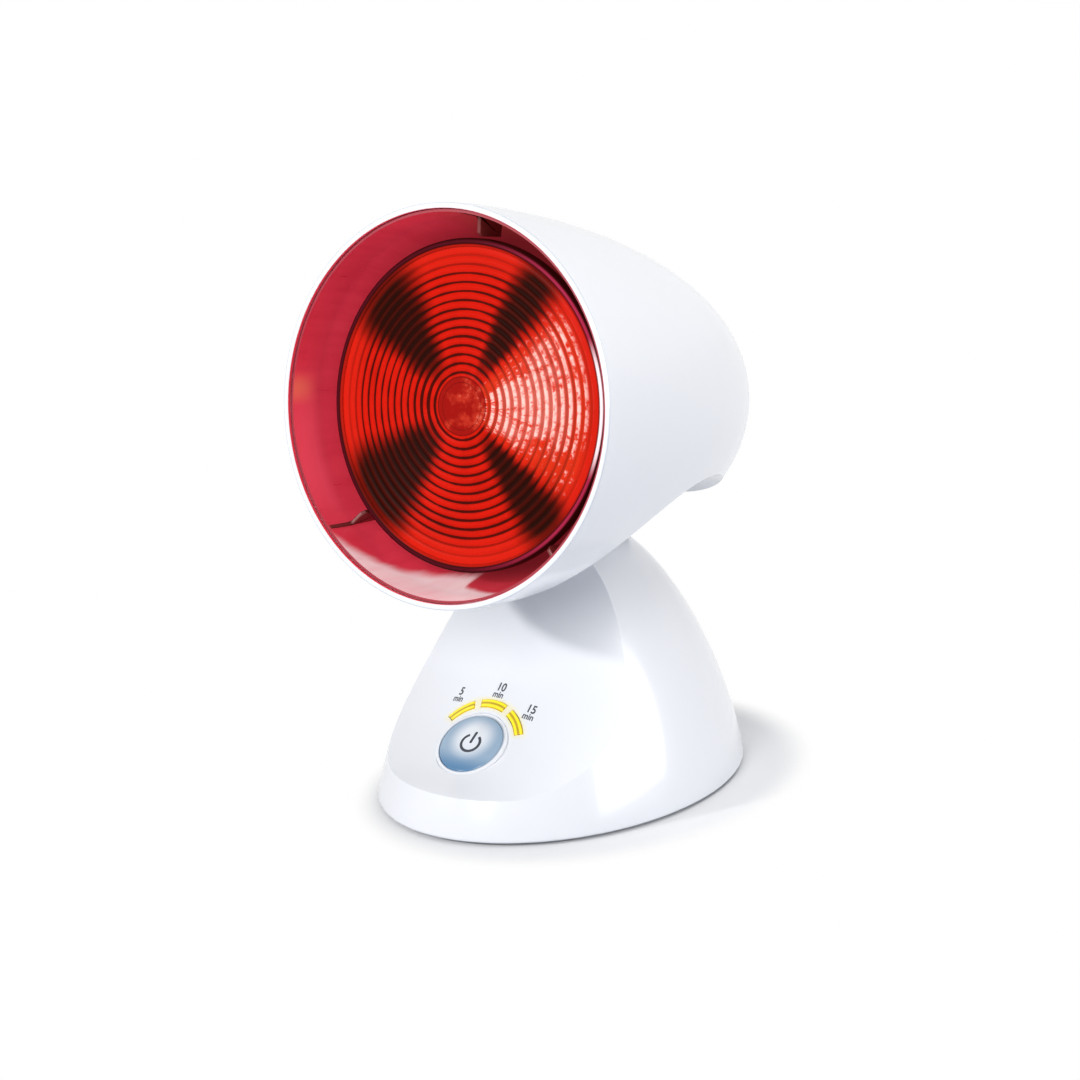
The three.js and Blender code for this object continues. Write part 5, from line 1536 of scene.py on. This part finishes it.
def floor_white(settings):
    """White floor that keeps the lamp's shadow near it and is plain white further out."""
    finish = Finish("floor_white", linear(0xF4F4F4), 0.9, Specular_IOR_Level=0.1)
    _, (x, y, z) = finish.place()
    seen = background_rays(finish.tree)
    finish.paint(finish.mix(seen, linear(0xB4B9C4), linear(0xF4F4F4)))
    white = finish.node("ShaderNodeEmission", Color=(1, 1, 1, 1), Strength=1.0)
    sizes = bpy.context.scene.base_sizes
    across = (x - settings.shadow_shift) / sizes.half_width
    along = (y - sizes.shift - settings.shadow_back) / sizes.half_depth
    far = (across * across + along * along).root().ramp(settings.shadow_start, settings.shadow_end)
    mix = finish.tree.nodes.new("ShaderNodeMixShader")
    sources = (seen * far, finish.shader.outputs[0], white.outputs[0])
    for socket, source in zip(mix.inputs, sources):
        finish.feed(socket, source)
    finish.feed(finish.tree.nodes["Material Output"].inputs["Surface"], mix.outputs[0])
    return finish.material


def surround(settings):
    world = bpy.data.worlds.new("soft_surround")
    bpy.context.scene.world = world
    world.use_nodes = True
    tree = world.node_tree
    background = tree.nodes["Background"]
    seen = background_rays(tree)
    strength = settings.sky + seen * (1 - settings.sky)
    tree.links.new(strength.socket, background.inputs["Strength"])
    tint = tree.nodes.new("ShaderNodeMix")
    tint.data_type = "RGBA"
    tree.links.new(seen.socket, tint.inputs[0])
    tint.inputs[6].default_value = SKY_TINT
    tint.inputs[7].default_value = (1, 1, 1, 1)
    tree.links.new(tint.outputs[2], background.inputs["Color"])


def soft_lamp(name, place, size, power):
    deselect_all()
    bpy.ops.object.light_add(type="AREA", location=place)
    lamp = bpy.context.object
    lamp.name = name
    lamp.data.shape = "DISK"
    lamp.data.size = size
    lamp.data.energy = power
    lamp.rotation_euler = (LAMP_AIM - Vector(place)).to_track_quat("-Z", "Y").to_euler()
    return lamp


def camera(settings):
    a, e = settings.azimuth, settings.elevation
    right = Vector((math.cos(a), math.sin(a), 0))
    back = Vector((math.sin(a) * math.cos(e), -math.cos(a) * math.cos(e), math.sin(e)))
    up = back.cross(right)
    deselect_all()
    bpy.ops.object.camera_add(location=(0, 0, 0))
    view = bpy.context.object
    view.name = "camera"
    aim = Vector((0, bpy.context.scene.base_sizes.shift, settings.aim_height))
    place = aim + back * settings.distance - right * settings.slide - up * settings.drop
    turned_to = Matrix((right, up, back)).transposed().to_4x4()
    view.matrix_world = Matrix.Translation(place) @ turned_to
    view.data.lens = settings.lens
    view.data.sensor_width = settings.sensor
    view.data.clip_start = 0.01
    bpy.context.scene.camera = view


class LAMP_PT_panel(bpy.types.Panel):
    bl_label = "Heat lamp"
    bl_idname = "LAMP_PT_panel"
    bl_space_type = "VIEW_3D"
    bl_region_type = "UI"
    bl_category = "Heat lamp"

    def draw(self, context):
        for operator in OPERATORS:
            self.layout.operator(operator.bl_idname)


GROUPS = {
    "lamp_colors": LampColors,
    "base_sizes": BaseSizes,
    "control_sizes": ControlSizes,
    "shade_sizes": ShadeSizes,
    "bulb_sizes": BulbSizes,
    "stage_settings": StageSettings,
}
OPERATORS = (
    LAMP_OT_stage, LAMP_OT_hardware, LAMP_OT_base, LAMP_OT_shade, LAMP_OT_controls,
    LAMP_OT_reflector, LAMP_OT_bulb, LAMP_OT_fittings,
)


def register():
    for group in (*GROUPS.values(), *OPERATORS, LAMP_PT_panel):
        bpy.utils.register_class(group)
    for name, group in GROUPS.items():
        setattr(bpy.types.Scene, name, PointerProperty(type=group))


def unregister():
    for name in GROUPS:
        delattr(bpy.types.Scene, name)
    for group in reversed((*GROUPS.values(), *OPERATORS, LAMP_PT_panel)):
        bpy.utils.unregister_class(group)


def main():
    register()
    for operator in OPERATORS:
        area, name = operator.bl_idname.split(".")
        getattr(getattr(bpy.ops, area), name)()


if __name__ == "__main__":
    main()
